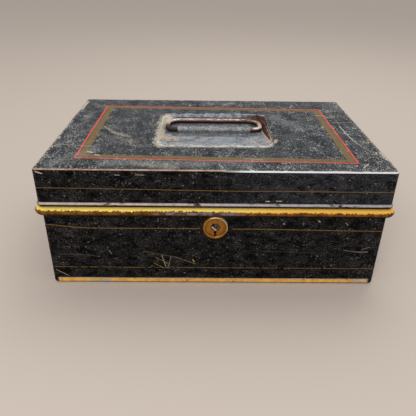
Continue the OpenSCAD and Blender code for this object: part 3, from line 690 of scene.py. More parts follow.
    # The lip turned down into the opening: cream on the left and grey behind as painted light,
    # brown on the right as rust with painted shade
    lip = fade(from_rim, 1.0, 0.5) * fade(nz, 0.95, 0.8) * fade(y, -PAN_FRONT + 1.0,
                                                                -PAN_FRONT + 8.0)
    lip_back_highlight = mix(tint, (112, 118, 126), (196, 200, 204))
    lip_tone = lay(mix(fade(x, 20.0, 50.0), lip_back_highlight, mix(tint, (52, 27, 17), (112, 68, 46))),
                   (fade(x, -44.0, -52.0), (240, 234, 218)))
    colour = mix(lip * 0.9, colour, lip_tone)
    rough = blend(outside, 0.55, rough)
    height = height + noise(point, 0.02, detail=1.0) - worn * 0.1
    return finish.close(colour, rough, metal, height, bump=0.5, gloss=1.1)


def body_finish(looks):
    """Black japan of the body: gilt bead, two thin lines, gilt strip at the foot, worn edges."""
    finish = Finish("japan_body")
    point, flat = finish.point, finish.flat
    x, y, z = split(point)
    colour, rough, height = dark_japan(flat)
    tint = mottle(point, 0.2, 0.35, 0.7)
    inner = inside_of(point, finish.normal)
    outside = 1.0 - inner
    seen_side = fade(y, BODY_Y - 4.0, BODY_Y - 5.0)
    across = abs(x)
    at_front = fade(y, -BODY_Y + 1.0, -BODY_Y + 0.5)

    # Two thin lines on the front and the ends, the upper one stopping short of the drum
    clear = 1.0 - at_front * fade(across, 15.5, 14.5)
    rise = fade(x, -110.0, -152.0, 0.0, 3.2)
    fall = fade(x, 20.0, 150.0, 0.0, 1.3)
    level = z - looks.upper_line / MM - rise + fall
    upper = lining(point, level, 0.34, 0.3) * clear
    lower = lining(point, z - looks.lower_line / MM, 0.3, 0.5)
    colour = mix(most(upper, lower) * seen_side * outside * 0.85, colour, tuple(looks.thin_gold))
    colour = draw_streaks(colour, join(x, z, 0.0), FRONT_MARKS, at_front * outside)

    # Gilt strip at the foot, with a pale line along its top
    foot = lining(point, z - 4.0, 2.3, 0.3)
    in_corner = fade(across, BODY_X - 3.5, BODY_X - 6.0)
    strip = foot * outside * seen_side * most(in_corner, fade(y, -BODY_Y + 3.0, -BODY_Y + 4.0))
    patchy = mottle(stretch(point, (0.4, 1.0, 1.0)), 0.12, 0.55, 0.62)
    gilt = lay(mix(tint, (248, 186, 84), (214, 158, 72)),
               (fade(z, 5.0, 6.0), (150, 140, 126)),
               (patchy * 0.8, (176, 168, 156)))
    colour = mix(strip * 0.92, colour, gilt)

    # Gilt bead: bright above, with a painted highlight at its crown; brown below with dirt and
    # painted shade; chipped along its crown
    proud = fade(most(across - BODY_X, abs(y) - BODY_Y), 0.05, 0.35)
    on_bead = proud * outside * between(z, BEAD_Z - BEAD_R - 0.2, BEAD_Z + BEAD_R + 0.3, 0.1)
    wave = noise(point, 0.18, detail=4.0, roughness=0.6)
    ragged = noise(stretch(point, (1.0, 1.0, 0.4)), 0.7, detail=3.0, roughness=0.7)
    border = maths("MULTIPLY_ADD", ragged - 0.5, 4.0,
                   fade(x, -20.0, 60.0, BEAD_Z + 1.9, BEAD_Z + 1.2))
    upper_half = fade(z - border, -0.2, 0.2)
    # The gold is brightest at the crown, a painted highlight.
    gold = lay(mix(tint, tuple(looks.gilt), (255, 206, 84)),
               (fade(x, -20.0, 60.0), (246, 180, 72)),
               (fade(z, BEAD_Z + 1.8, BEAD_Z + 3.2) * 0.8,
                mix(fade(x, 10.0, 80.0), (255, 226, 118), (255, 202, 96))))
    dirt_and_shade = mix(tint, (84, 54, 20), (138, 92, 34))
    # Painted shade: the lower part of the bead is near black.
    low = fade(z, BEAD_Z - 0.4, BEAD_Z - 1.8)
    dirt_and_shade = mix(low * fade(x, -40.0, 40.0, 0.75, 0.95), dirt_and_shade, (28, 20, 14))
    bead = mix(upper_half, dirt_and_shade, gold)
    seam = fade(abs(z - border), 0.7, 0.2)
    bead = mix(seam * fade(wave, 0.4, 0.55) * 0.85, bead, (54, 36, 26))
    chips = mottle(point, 0.5, 0.55, 0.6) * fade(x, -60.0, 0.0)
    chips = chips * fade(z, BEAD_Z + 2.6, BEAD_Z + 1.6)
    bead = mix(chips * upper_half * 0.9, bead, (52, 44, 50))
    bitten = maths("MULTIPLY_ADD", ragged, 5.0, z)
    over_drum = at_front * between(x, -50.0, 20.0, 10.0) * fade(bitten, BEAD_Z + 4.3, BEAD_Z + 3.5)
    worn_gilt = mix(fade(wave, 0.4, 0.6), (72, 58, 60), (136, 124, 132))
    bead = mix(over_drum * fade(z, BEAD_Z - 1.4, BEAD_Z - 0.4) * 0.85, bead, worn_gilt)
    colour = mix(on_bead, colour, bead)

    # Corners, foot and neck
    corner = box_edges(point, BODY_X, BODY_Y, TOP_Z)[1]
    rub = edge_rub(point, corner, 2.0, 0.2)
    foot_rub = edge_rub(point, z, 2.2, 0.14)
    bare = mix(tint, (150, 134, 118), (104, 74, 56))
    below = fade(z, BEAD_Z - BEAD_R, BEAD_Z - BEAD_R - 1.0)
    worn = most(rub, foot_rub) * below * outside
    colour = mix(worn * 0.8, colour, bare)
    neck = fade(z, BEAD_Z + BEAD_R + 0.1, BEAD_Z + BEAD_R + 0.4)
    colour = lay(colour,
                 (neck * 0.8, mix(tint, (60, 54, 49), (118, 110, 100))),
                 (inner, mix(tint, (34, 31, 28), (54, 48, 42))))

    gilded = on_bead * upper_half
    metal = most(gilded * 0.1, worn * 0.3, neck * 0.4)
    rough = blend(on_bead, rough, 0.34)
    rough = blend(most(worn, inner), rough, 0.55)
    height = height + noise(point, 0.02, detail=1.0) + on_bead * wave * 0.6
    height = height - most(worn, chips) * 0.12
    return finish.close(colour, rough, metal, height, bump=0.5, gloss=1.1)


def pan_finish():
    """Japan of the handle pan: blue-grey on its slope, cream along the rim, painted light on its
    left and back walls, rust with painted shade on the right.
    """
    finish = Finish("japan_pan")
    point = finish.point
    x, y, z = split(point)
    nz = split(finish.normal)[2]
    colour, rough, height = dust_and_sheen_japan(join(x, y, 11.0), 0.7)
    tint = mottle(point, 0.25, 0.35, 0.7)
    slope = between(nz, 0.9, 0.999, 0.004)
    frost = mottle(join(x, y, 3.0), 0.16, 0.36, 0.62)
    fleck = grain(stretch(point, (1.0, 0.5, 1.0)), 0.6, 0.5, 0.66)
    colour = lay(colour,
                 (slope * 0.5, (104, 112, 122)),
                 (slope * frost * 0.6, (186, 194, 204)),
                 (slope * fleck * 0.75, (216, 212, 200)))
    # Steep walls: grey as painted light that lifts their shade, and on the right rust darkened as
    # painted shade.
    rust = mix(tint, (62, 30, 17), (112, 64, 42))
    bare = mix(fade(x, 20.0, 46.0), mix(fleck, (112, 116, 120), (196, 198, 198)), rust)
    colour = mix(fade(nz, 0.85, 0.6) * (1.0 - fade(x, -34.0, -50.0)) * 0.9, colour, bare)
    # The left wall is cream, partly worn paint and partly a painted highlight.
    cream = mix(tint, (250, 246, 234), (224, 204, 176))
    colour = mix(fade(x, -40.0, -50.0) * fade(nz, 0.98, 0.9) * 0.9, colour, cream)
    peach = fade(x, -30.0, -40.0) * between(y, -22.0, -2.0, 6.0) * fade(nz, 0.998, 0.985) * tint
    colour = mix(peach * 0.9, colour, (238, 196, 152))
    facet = fade(x, 34.0, 44.0) * between(nz, 0.5, 0.965, 0.03) * fade(y, 14.0, 6.0)
    colour = mix(facet * 0.85, colour, mix(tint, (222, 186, 164), (170, 122, 98)))
    rim = edge_rub(point, TOP_Z - z, 3.0, 0.2)
    colour = mix(rim * 0.8, colour, cream)
    colour = draw_streaks(colour, join(x, y, 0.0), PAN_MARKS, fade(nz, 0.5, 0.8))
    colour = mix(fade(nz, -0.2, -0.5), colour, (34, 31, 29))
    return finish.close(colour, rough, rim * 0.2, height + tint * 0.3, bump=0.4, gloss=1.25)


def sleeve_finish():
    """Japan on the sleeve: grey with dust and speckle, lighter on its top and front as a painted
    highlight, and painted shade underneath.
    """
    finish = Finish("japan_sleeve")
    point = finish.point
    x, y, z = split(point)
    ny, nz = split(finish.normal)[1:]
    colour, rough, height = dust_and_sheen_japan(join(x, y + z, 5.0), 1.0)
    # Painted highlight: the top and the front are made lighter.
    front = fade(ny, -0.1, -0.6) * fade(nz, -0.3, 0.1)
    colour = lay(colour,
                 (fade(nz, 0.0, 0.4) * 0.2, (150, 150, 150)),
                 (front * 0.25, (176, 178, 180)))
    # Dust flecks on the upper side, and painted shade under the sleeve.
    fleck = grain(stretch(point, (0.9, 1.0, 1.0)), 0.8, 0.5, 0.62)
    colour = lay(colour,
                 (fleck * fade(nz, -0.2, 0.3) * 0.7, (214, 212, 204)),
                 (fade(nz, 0.08, -0.18) * 0.95, (20, 14, 12)))
    return finish.close(colour, rough, 0.0, height, bump=0.4, gloss=1.25)


def rivet_finish():
    """Black japan on the rivet heads, rubbed brown on their crowns."""
    finish = Finish("japan_rivets")
    colour, rough, height = dark_japan(finish.flat)
    crown = fade(split(finish.normal)[1], 0.85, 1.0) * mottle(finish.point, 0.8, 0.4, 0.6)
    colour = mix(crown * 0.7, colour, (128, 98, 78))
    return finish.close(colour, rough, crown * 0.5, height, bump=0.3, gloss=1.25)


def handle_finish():
    """Iron wire whose japan has worn off: brown rust, pale polished patches on top that are also
    painted highlights, painted glints at its bends, and painted shade underneath and on its left
    lower limb.
    """
    finish = Finish("worn_iron")
    point = finish.point
    x, y = split(point)[:2]
    nz = split(finish.normal)[2]
    cloud = mottle(point, 0.12, 0.32, 0.7)
    pit = specks(point, 0.8, 0.9)
    rough_skin = mottle(point, 0.7, 0.4, 0.65)
    flecks = grain(stretch(point, (0.7, 1.0, 1.0)), 0.75, 0.42, 0.54)
    # Polished flecks show only on the top, as a painted highlight.
    polish_and_highlight = fade(nz, 0.4, 0.85) * flecks * mottle(point, 0.07, 0.3, 0.5)
    bend = most(fade(x, -30.0, -35.0) * fade(y, 30.0, 36.0),
                fade(x, 40.0, 44.0) * fade(y, 22.0, 15.0))
    glint = bend * fade(nz, 0.35, 0.75) * fade(rough_skin, 0.9, 0.3)
    # Painted shade: the left lower limb is near black.
    dark = fade(x, -30.0, -33.0) * fade(y, 24.0, 18.0)
    # The underside is near black, a painted shade.
    colour = lay(mix(cloud, (84, 50, 40), (138, 94, 80)),
                 (rough_skin * 0.5, (50, 30, 24)),
                 (pit * 0.7, (28, 19, 16)),
                 (fade(nz, 0.4, 0.05) * 0.85, (16, 11, 9)),
                 (polish_and_highlight * 0.9, (252, 220, 208)),
                 (glint * 0.9, (236, 224, 214)),
                 (dark * 0.92, mix(rough_skin * 0.12, (12, 8, 7), (96, 50, 28))))
    shiny = most(polish_and_highlight, glint * 0.8)
    height = cloud * 0.3 - pit * 0.3
    return finish.close(colour, blend(shiny, 0.6, 0.4), blend(shiny, 0.2, 0.5), height, bump=0.5)


def brass_finish():
    """Aged brass of the drum and lock: brown-gold, with turned rings and an orange rim with a pale
    painted highlight on its upper right.
    """
    finish = Finish("aged_brass")
    point = finish.point
    x, y, z = split(point)
    cloud = mottle(point, 0.3, 0.3, 0.7)
    turning = mottle(point, 1.1, 0.42, 0.6)
    dots = specks(point, 1.1, 0.8)
    radius = vector_maths("LENGTH", join(x, z - DRUM_Z, 0.0), output=1)
    rings = maths("SINE", radius * 9.0)
    # Painted highlight: the rim is pale on its upper right.
    rim = between(radius, 10.4, 12.0, 0.3) * fade(y, -BODY_Y + 0.5, -BODY_Y)
    upper_right_highlight = fade(x + (z - DRUM_Z), 2.0, 9.0)
    colour = lay(mix(cloud, (146, 94, 30), (186, 130, 44)),
                 (turning * 0.45, (108, 68, 24)),
                 (dots * 0.6, (84, 54, 26)),
                 (rim * 0.4, (196, 130, 66)),
                 (rim * upper_right_highlight * 0.95, (250, 226, 190)))
    height = maths("MULTIPLY_ADD", rings, 0.02, cloud * 0.1)
    return finish.close(colour, blend(cloud, 0.34, 0.5), 0.7, height, bump=0.4)


def barrel_finish():
    """Worn iron of the turning barrel: dark, with a pale glint below its slot."""
    finish = Finish("worn_barrel")
    point = finish.point
    x, y, z = split(point)
    cloud = mottle(point, 0.8, 0.35, 0.65)
    colour = mix(cloud, (52, 38, 32), (96, 74, 62))
    glint = (-2.6, DRUM_Z - 0.4, 0.6, DRUM_Z - 3.0, 1.1, 0.1, 0.9, (216, 178, 158))
    colour = draw_streaks(colour, join(x, z, 0.0), [glint], fade(y, -BODY_Y - 0.6, -BODY_Y - 0.9))
    return finish.close(colour, blend(cloud, 0.4, 0.55), 0.4, cloud * 0.1, bump=0.4)


def plain_metal(name, dark, light, metallic, low, high):
    """A dull metal with cloudy tone and fine brushed streaks."""
    finish = Finish(name)
    cloud = mottle(finish.point, 0.15, 0.3, 0.7)
    fine = mottle(stretch(finish.flat, (0.12, 1.0, 1.0)), 2.0, 0.3, 0.7)
    colour = lay(mix(cloud, dark, light), (fine * 0.25, dark))
    return finish.close(colour, blend(cloud, low, high), metallic, fine * 0.05, bump=0.3)


def tone_value(name, description, tone):
    """A colour that the maker may change, given as it is displayed."""
    return bpy.props.FloatVectorProperty(name=name, description=description, subtype="COLOR",
                                         size=4, default=paint(*tone), min=0.0, max=1.0)


def length_value(name, description, length):
    """A length that the maker may change, given in millimetres."""
    return bpy.props.FloatProperty(name=name, description=description, default=length * MM,
                                   unit="LENGTH")


class BoxLooks(bpy.types.PropertyGroup):
    """Colours and lining sizes that a maker would change."""

    red_line: tone_value("Red line", "Colour of the red line on the lid", (236, 96, 82))
    top_gold: tone_value("Gold band", "Colour of the gold band on the lid", (116, 96, 60))
    thin_gold: tone_value("Thin lines", "Colour of the thin lines on the walls", (130, 100, 50))
    gilt: tone_value("Gilt", "Colour of the gilt bead", (255, 222, 112))
    lining_side: length_value(
        "Lining side", "Distance of the red line's outer edge from the middle", 123.6)
    lining_front: length_value(
        "Lining front", "Distance of the red line's front edge before the middle", 83.4)
    lining_back: length_value(
        "Lining back", "Distance of the red line's back edge behind the middle", 74.6)
    lining_skew: bpy.props.FloatProperty(
        name="Lining skew", description="How far the lining runs out of square", default=0.026)
    red_width: length_value("Red width", "Width of the red line", 1.5)
    gold_width: length_value("Gold width", "Width of the gold band", 6.8)
    line_gap: length_value("Line gap", "Black between the red line and the gold band", 0.6)
    lid_line: length_value("Lid line", "Height of the thin line on the lid's walls", 99.0)
    upper_line: length_value("Upper line", "Height of the body's upper thin line", 60.6)
    lower_line: length_value("Lower line", "Height of the body's lower thin line", 18.2)


def turned(angles):
    """Unit vectors in the plane at angles in degrees, one in each row."""
    turns = np.radians(angles)
    return np.stack([np.cos(turns), np.sin(turns)], axis=-1)


# Every outline has the same columns: corners, ends and, along the front and the back, edges
FRONT_ANGLES = np.linspace(270.0, 360.0, 16)
BACK_ANGLES = np.linspace(0.0, 90.0, 10)
END_COLUMNS = 48
EDGE_COLUMNS = 72
BACK_START = len(FRONT_ANGLES) + END_COLUMNS + len(BACK_ANGLES)
BACK_EDGE = slice(BACK_START, BACK_START + EDGE_COLUMNS)


def ring(front_corner, back_corner):
    """Closed outline, counter-clockwise from above, that starts at the front right corner.

    The points of the two right corners are given. The left corners are their mirror image, and
    evenly spaced points on straight lines join one corner to the next.
    """
    left = [corner[::-1] * (-1.0, 1.0) for corner in (back_corner, front_corner)]
    corners = [front_corner, back_corner, *left]
    parts = []
    for here, there, count in zip(corners, corners[1:] + corners[:1],
                                  (END_COLUMNS, EDGE_COLUMNS) * 2):
        shares = np.linspace(0.0, 1.0, count + 2)[1:-1, None]
        parts += [here, here[-1] + (there[0] - here[-1]) * shares]
    return np.concatenate(parts)


def rounded_ring(half_x, front, back, radius):
    """Rectangle with round corners: a quarter circle round each corner's centre."""
    return ring(np.array([half_x - radius, radius - front]) + radius * turned(FRONT_ANGLES),
                np.array([half_x - radius, back - radius]) + radius * turned(BACK_ANGLES))


def floor_ring():
    """Outline of the pan's floor and its outward directions.

    Each front corner is cut off by a slanting line between two small circles, the nose and the
    shoulder. The back corners are quarter circles.
    """
    nose = np.array([FOLD_X - NOSE_R, FOLD_Y + NOSE_R])
    shoulder = np.array([SHOULDER_X - NOSE_R, SHOULDER_Y + NOSE_R])
    run = shoulder - nose
    slant = 270.0 + np.degrees(np.arctan2(run[1], run[0]))
    angles = np.concatenate([np.linspace(270.0, slant, 5), np.full(6, slant),
                             np.linspace(slant, 360.0, 5)])
    shares = np.concatenate([np.zeros(5), np.arange(1, 7) / 7, np.ones(5)])[:, None]
    heel = np.array([SHOULDER_X - HEEL_R, FLOOR_BACK - HEEL_R])
    return (ring(nose + run * shares + NOSE_R * turned(angles),
                 heel + HEEL_R * turned(BACK_ANGLES)),
            ring(turned(angles), turned(BACK_ANGLES)))


def at_height(plane, height):
    """Points of a plane outline, or several, lifted to a height."""
    return np.concatenate([plane, np.broadcast_to(height, plane.shape[:-1])[..., None]], axis=-1)


def curve_through(start, corner, end, count):
    """Rows on the smooth curve from start to end that bends at corner, the start left out.

    The curve is (1-t)(1-t) start + 2 t (1-t) corner + t t end, for t from 0 to 1.
    """
    t = np.linspace(0.0, 1.0, count + 1)[1:, None, None]
    return (1 - t) ** 2 * start + 2 * t * (1 - t) * corner + t ** 2 * end


def opening_wall():
    """The opening's rim, the pan's floor line and, for each column, the wall between them.

    The wall runs straight down from the rim to the floor. facing is the direction at right
    angles to it that looks into the opening: the run turned by a quarter in the plane of the
    column. level is the share of the run that goes sideways.
    """
    rim = at_height(rounded_ring(PAN_X, PAN_FRONT, PAN_BACK, PAN_CORNER), TOP_Z)
    out = at_height(ring(turned(FRONT_ANGLES), turned(BACK_ANGLES)), 0.0)
    floor, floor_out = floor_ring()
    floor = at_height(floor, FLOOR_Z)
    length = np.linalg.norm(floor - rim, axis=1, keepdims=True)
    down = (floor - rim) / length
    level = np.linalg.norm(down[:, :2], axis=1, keepdims=True)
    inward = down * (1.0, 1.0, 0.0) / level
    facing = inward * -down[:, 2:] + np.array([0.0, 0.0, 1.0]) * level
    return rim, out, down, facing, level, length, floor, at_height(floor_out, 0.0)


def surface(name, grid, start=None, end=None, keep=None):
    """Mesh object from a grid of points in millimetres whose columns close into a ring.

    start and end are points that close the first and the last row with a fan. keep says which
    of the grid's quads are made. Rows and columns run so that faces look outwards.
    """
    rows, columns = grid.shape[:2]
    number = np.arange(rows * columns).reshape(rows, columns)
    after = np.roll(number, -1, axis=1)
    quads = np.stack([number[:-1], after[:-1], after[1:], number[1:]], axis=-1).reshape(-1, 4)
    if keep is not None:
        quads = quads[keep.ravel()]
    points = grid.reshape(-1, 3)
    fans = [np.zeros((0, 3), int)]
    for pole, row, order in ((start, 0, -1), (end, -1, 1)):
        if pole is not None:
            apex = np.full(columns, len(points))
            fans.append(np.stack([number[row], after[row], apex], axis=1)[:, ::order])
            points = np.vstack([points, pole])
    fans = np.concatenate(fans)
    used, corners = np.unique(np.concatenate([quads.ravel(), fans.ravel()]), return_inverse=True)
    quads = corners[:quads.size].reshape(-1, 4)
    fans = corners[corners.size - fans.size:].reshape(-1, 3)
    mesh = bpy.data.meshes.new(name)
    mesh.from_pydata((points[used] * MM).tolist(), [], quads.tolist() + fans.tolist())
    piece = bpy.data.objects.new(name, mesh)
    bpy.context.scene.collection.objects.link(piece)
    return piece


def finish_piece(piece, material, body, node, thickness=0.0):
    """Gives a sheet its thickness, shades it smooth but for its edges, and puts it in the frame."""
    if thickness:
        wall = piece.modifiers.new("sheet", "SOLIDIFY")
        wall.thickness = thickness * MM
        wall.offset = -1.0
        bpy.context.view_layer.update()
        shown = piece.evaluated_get(bpy.context.evaluated_depsgraph_get())
        piece.data = bpy.data.meshes.new_from_object(shown)
        piece.modifiers.clear()
    piece.data.shade_smooth()
    piece.data.set_sharp_from_angle(angle=math.radians(36.0))
    piece.data.materials.clear()
    piece.data.materials.append(material)
    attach(piece, body)
    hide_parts(node)


# Dents in the lid's top: x, y, depth and radius
DENTS = np.array([(-96.0, 34.0, 0.3, 24.0), (100.0, -52.0, 0.3, 26.0), (-72.0, -70.0, 0.22, 18.0),
                  (92.0, 60.0, 0.3, 22.0), (4.0, -80.0, 0.2, 26.0), (-128.0, -58.0, 0.2, 16.0),
                  (126.0, 10.0, 0.24, 18.0), (-20.0, 78.0, 0.2, 24.0)])
LID_ROLL = (-262.0, 71.6)

# Lengths down the opening's wall: the rim's curve and its end, the pan's joggle and its foot
LIP = 2.2
FLAP = 3.0
JOGGLE = 3.1
WALL_START = 4.5
FOOT_R = 2.5
PAN_GAP = 0.05


def sheet_dents(plane):
    """How far dents lower the lid's top: a bell shape for each and a slow wave, under 0.5."""
    away = np.linalg.norm(plane[..., None, :] - DENTS[:, :2], axis=-1)
    bells = (DENTS[:, 2] * np.exp(-(away / DENTS[:, 3]) ** 2)).sum(axis=-1)
    wave = 1.0 - np.cos(plane[..., 0] * 0.045) * np.cos(plane[..., 1] * 0.06 + 0.4)
    return np.minimum(bells + 0.06 * wave, 0.5)


def wall_wave(points):
    """How far the lid's walls lean in: a slow wave, none at the corners, the edges and the lock."""
    x, y, z = np.moveaxis(points, -1, 0)
    swell = 0.5 - 0.5 * np.cos(0.055 * x + 0.04 * y + 0.8) * np.cos(0.16 * (z - ROLL_Z))
    corner = np.clip(np.maximum(LID_X - np.abs(x), LID_Y - np.abs(y)) / 25.0, 0.0, 1.0)
    lock = np.where(y < -LID_Y + 1.0, np.clip((np.abs(x) - 30.0) / 20.0, 0.0, 1.0), 1.0)
    above = np.clip((z - ROLL_Z - 4.0) / 6.0, 0.0, 1.0)
    below = np.clip((TOP_Z - 2.0 - z) / 8.0, 0.0, 1.0)
    return 0.24 * swell * corner * lock * (above * below)


def lid_piece(material):
    """The lid in one sheet: rolled edge, wall, bend, top and the turned-down rim of the opening.

    A profile is carried round the outline. It is a circle round the edge wire, a straight wall
    and a quarter circle to the top. The top runs straight from there to a crest round the
    opening, column by column, and the rim curves down along the pan's wall.
    """
    outline = rounded_ring(LID_X, LID_Y, LID_Y, CORNER_R)
    out = ring(turned(FRONT_ANGLES), turned(BACK_ANGLES))
    back = outline[BACK_EDGE]
    for edge in (*WINDOW_EDGES, *-WINDOW_EDGES):
        back[np.argmin(np.abs(back[:, 0] - edge)), 0] = edge
    roll = turned(np.linspace(*LID_ROLL, 26)) * ROLL_R + (-SHEET, ROLL_Z)
    heights = np.concatenate([[ROLL_Z + 2.4, WINDOW_TOP],
                              np.linspace(WINDOW_TOP, TOP_Z - LID_BEND, 15)[1:]])
    wall = np.stack([np.zeros_like(heights), heights], axis=1)
    bend = turned(np.linspace(0.0, 90.0, 7)[1:]) * LID_BEND + (-LID_BEND, TOP_Z - LID_BEND)
    profile = np.concatenate([roll, wall, bend])
    sides = at_height(outline + profile[:, :1, None] * out, profile[:, 1:])
    sides[..., :2] -= wall_wave(sides)[..., None] * out

    rim, rim_out, down = opening_wall()[:3]
    crest = rim + LIP * rim_out
    shares = np.linspace(0.0, 1.0, 21)[1:, None, None]
    top = sides[-1] + (crest - sides[-1]) * shares
    top[..., 2] -= sheet_dents(top[..., :2]) * np.sin(np.pi * shares[..., 0]) ** 2
    turn = curve_through(crest, rim, rim + LIP * down, 7)
    grid = np.concatenate([sides, top, turn, (rim + FLAP * down)[None]])

    low = grid[:-1, :, 2] < WINDOW_TOP - 0.01
    across = np.abs((outline + np.roll(outline, -1, axis=0))[:, 0] / 2)
    window = (across > WINDOW_EDGES[0]) & (across < WINDOW_EDGES[1])
    window &= outline[:, 1] > LID_Y - 0.01
    low[len(profile):] = False
    piece = surface("lid_sheet", grid, keep=~(low & window))
    finish_piece(piece, material, "lid", "lid_shell", SHEET)


def pan_piece(material):
    """The handle pan: flange under the lid, joggle, straight walls, foot curve and flat floor.

    Column by column, rows follow the opening's wall. They start a sheet's thickness below the
    lid, come flush where its turned-down rim ends, and curve into the floor. Rings then close
    in on the middle of the floor.
    """
    rim, out, down, facing, level, length, floor, floor_out = opening_wall()
    under = SHEET + PAN_GAP
    lower = rim - (0.0, 0.0, under)
    flange = lower + np.array([5.9, 4.2, 2.7, LIP])[:, None, None] * out
    corner = lower + under * (1.0 - level) / -down[:, 2:] * out
    turn = curve_through(flange[-1], corner, rim + LIP * down - under * facing, 7)
    steps = np.array([2.7, 3.1, 3.45, 3.8, 4.15, 4.5])[:, None, None]
    ease = np.clip((steps - JOGGLE) / (WALL_START - JOGGLE), 0.0, 1.0)
    joggle = rim + steps * down - under * (1.0 - ease * ease * (3.0 - 2.0 * ease)) * facing
    shares = np.linspace(0.0, 1.0, 15)[1:, None, None]
    walls = rim + (WALL_START + (length - FOOT_R - WALL_START) * shares) * down
    sag = 0.3 * np.sin(np.pi * shares) ** 2 * np.clip((length - 12.0) / 30.0, 0.0, 1.0)
    sag = sag * (0.75 + 0.25 * np.cos(0.11 * walls[..., :1] + 0.6))
    walls = walls - sag * facing
    curve = curve_through(walls[-1], floor, floor - FOOT_R * floor_out, 6)
    middle = np.array([0.0, 20.0, FLOOR_Z])
    shares = np.array([0.2, 0.4, 0.6, 0.8])[:, None, None]
    rings = curve[-1] + (middle - curve[-1]) * shares
    grid = np.concatenate([flange, turn, joggle, walls, curve, rings])
    piece = surface("pan_sheet", grid, end=middle)
    finish_piece(piece, material, "lid", "handle_pan", SHEET - PAN_GAP)


def bail_piece(material):
    """The wire handle: a circle carried along its bent path, slightly uneven where hands wore it.

    The path starts inside the sleeve, turns out and back round the toe, along the arm and round
    the heel to the bar, and mirrors to the other side. The wire's radius shrinks by a slow wave
    outside the sleeve and closes round at both ends.
    """
    toe, arm, heel, bar, end, cap = 7.0, 26.5, 13.0, 39.5, 18.0, 0.4
    hinge = np.array([HANDLE_Y])
    straight = np.linspace(end, BAIL_X - toe, 14)
    half = np.concatenate([
        np.stack([straight, np.repeat(hinge, len(straight))], axis=1),
        np.array([BAIL_X - toe, HANDLE_Y + toe]) + toe * turned(np.linspace(-90.0, 0.0, 13)[1:]),
        np.stack([np.full(5, BAIL_X), np.linspace(HANDLE_Y + toe, arm, 6)[1:]], axis=1),
        np.array([BAIL_X - heel, arm]) + heel * turned(np.linspace(0.0, 90.0, 17)[1:]),
        np.stack([np.linspace(BAIL_X - heel, 0.0, 19)[1:], np.full(18, bar)], axis=1)])
    path = np.concatenate([half, half[-2::-1] * (-1.0, 1.0)])
    run = np.gradient(path, axis=0)
    run /= np.linalg.norm(run, axis=1, keepdims=True)
    side = at_height(np.stack([-run[:, 1], run[:, 0]], axis=1), 0.0)
    place = np.cumsum(np.r_[0.0, np.linalg.norm(np.diff(path, axis=0), axis=1)])
    worn = 0.05 * (1.0 - np.cos(place * 0.13 + 0.7)) * (1.0 - np.cos(place * 0.051))
    worn[np.abs(path[:, 1] - HANDLE_Y) < 2.0] = 0.0
    radius = BAIL_R - worn
    radius[[0, -1]] = BAIL_R * 0.6
    circle = turned(np.linspace(0.0, 360.0, 25)[:-1])
    up = np.array([0.0, 0.0, 1.0])
    ring_rows = circle[None, :, :1] * side[:, None] + circle[None, :, 1:] * up
    grid = at_height(path, BAIL_Z)[:, None] + radius[:, None, None] * ring_rows
    grid[0, :, 0] -= cap
    grid[-1, :, 0] += cap
    piece = surface("wire_handle", grid, start=grid[0].mean(axis=0), end=grid[-1].mean(axis=0))
    finish_piece(piece, material, "handle", "bail_handle")


class PieceOperator:
    """What the piece operators share: each makes its pieces with the scene's looks."""

    bl_options = {"REGISTER", "UNDO"}

    def execute(self, context):
        self.make(context.scene.deed_box)
        return {"FINISHED"}


class DEEDBOX_OT_lid(PieceOperator, bpy.types.Operator):
    """Makes the lid's sheet and finishes it and its edge wire"""

    bl_idname = "deedbox.lid"
    bl_label = "Lid"

    def make(self, looks):
        lid_piece(lid_finish(looks))
        iron = plain_metal("wire_iron", (70, 62, 56), (130, 118, 108), 0.7, 0.4, 0.6)
        dress("lid_edge_wire", iron)


class DEEDBOX_OT_body(PieceOperator, bpy.types.Operator):
    """Finishes the body's two sheets and its bottom plate"""

    bl_idname = "deedbox.body"
    bl_label = "Body"

    def make(self, looks):
        finish = body_finish(looks)
        dress("body_front_sheet", finish)
        dress("body_back_sheet", finish)
        tin = plain_metal("dull_tin", (38, 34, 31), (70, 63, 56), 0.3, 0.45, 0.65)
        dress("body_bottom", tin)


class DEEDBOX_OT_handle(PieceOperator, bpy.types.Operator):
    """Makes the pan and the wire handle, and finishes them and the sleeve"""

    bl_idname = "deedbox.handle"
    bl_label = "Handle"

    def make(self, looks):
        pan_piece(pan_finish())
        bail_piece(handle_finish())
        dress("handle_sleeve", sleeve_finish())


class DEEDBOX_OT_hinges(PieceOperator, bpy.types.Operator):
    """Finishes the hinge straps and their rivets"""

    bl_idname = "deedbox.hinges"
    bl_label = "Hinges"

    def make(self, looks):
        tin = plain_metal("strap_tin", (74, 68, 60), (136, 128, 116), 0.6, 0.38, 0.55)
        dress("hinge_straps", tin)
        dress("hinge_rivets", rivet_finish())


class DEEDBOX_OT_lock(PieceOperator, bpy.types.Operator):
    """Finishes the drum, the barrel and the lock inside"""

    bl_idname = "deedbox.lock"
    bl_label = "Lock"

    def make(self, looks):
        brass = brass_finish()
        for node in ("key_drum", "drum_pins", "lock_case", "lock_cap", "bolt_stump",
                     "lever_1", "lever_2", "lever_3"):
            dress(node, brass)
        dress("lock_barrel", barrel_finish())
        steel = plain_metal("lock_steel", (62, 56, 52), (126, 118, 112), 0.8, 0.3, 0.5)
        for node in ("cap_screws", "lever_post", "key_pin", "lock_bolt", "lever_springs",
                     "link_plate"):
            dress(node, steel)


class DEEDBOX_OT_stage(PieceOperator, bpy.types.Operator):
    """Sets the pale floor, the soft lamps and the camera of the photograph"""

    bl_idname = "deedbox.stage"
    bl_label = "Stage"

    def make(self, looks):
        pale_floor()
        soft_light()
        photo_camera()


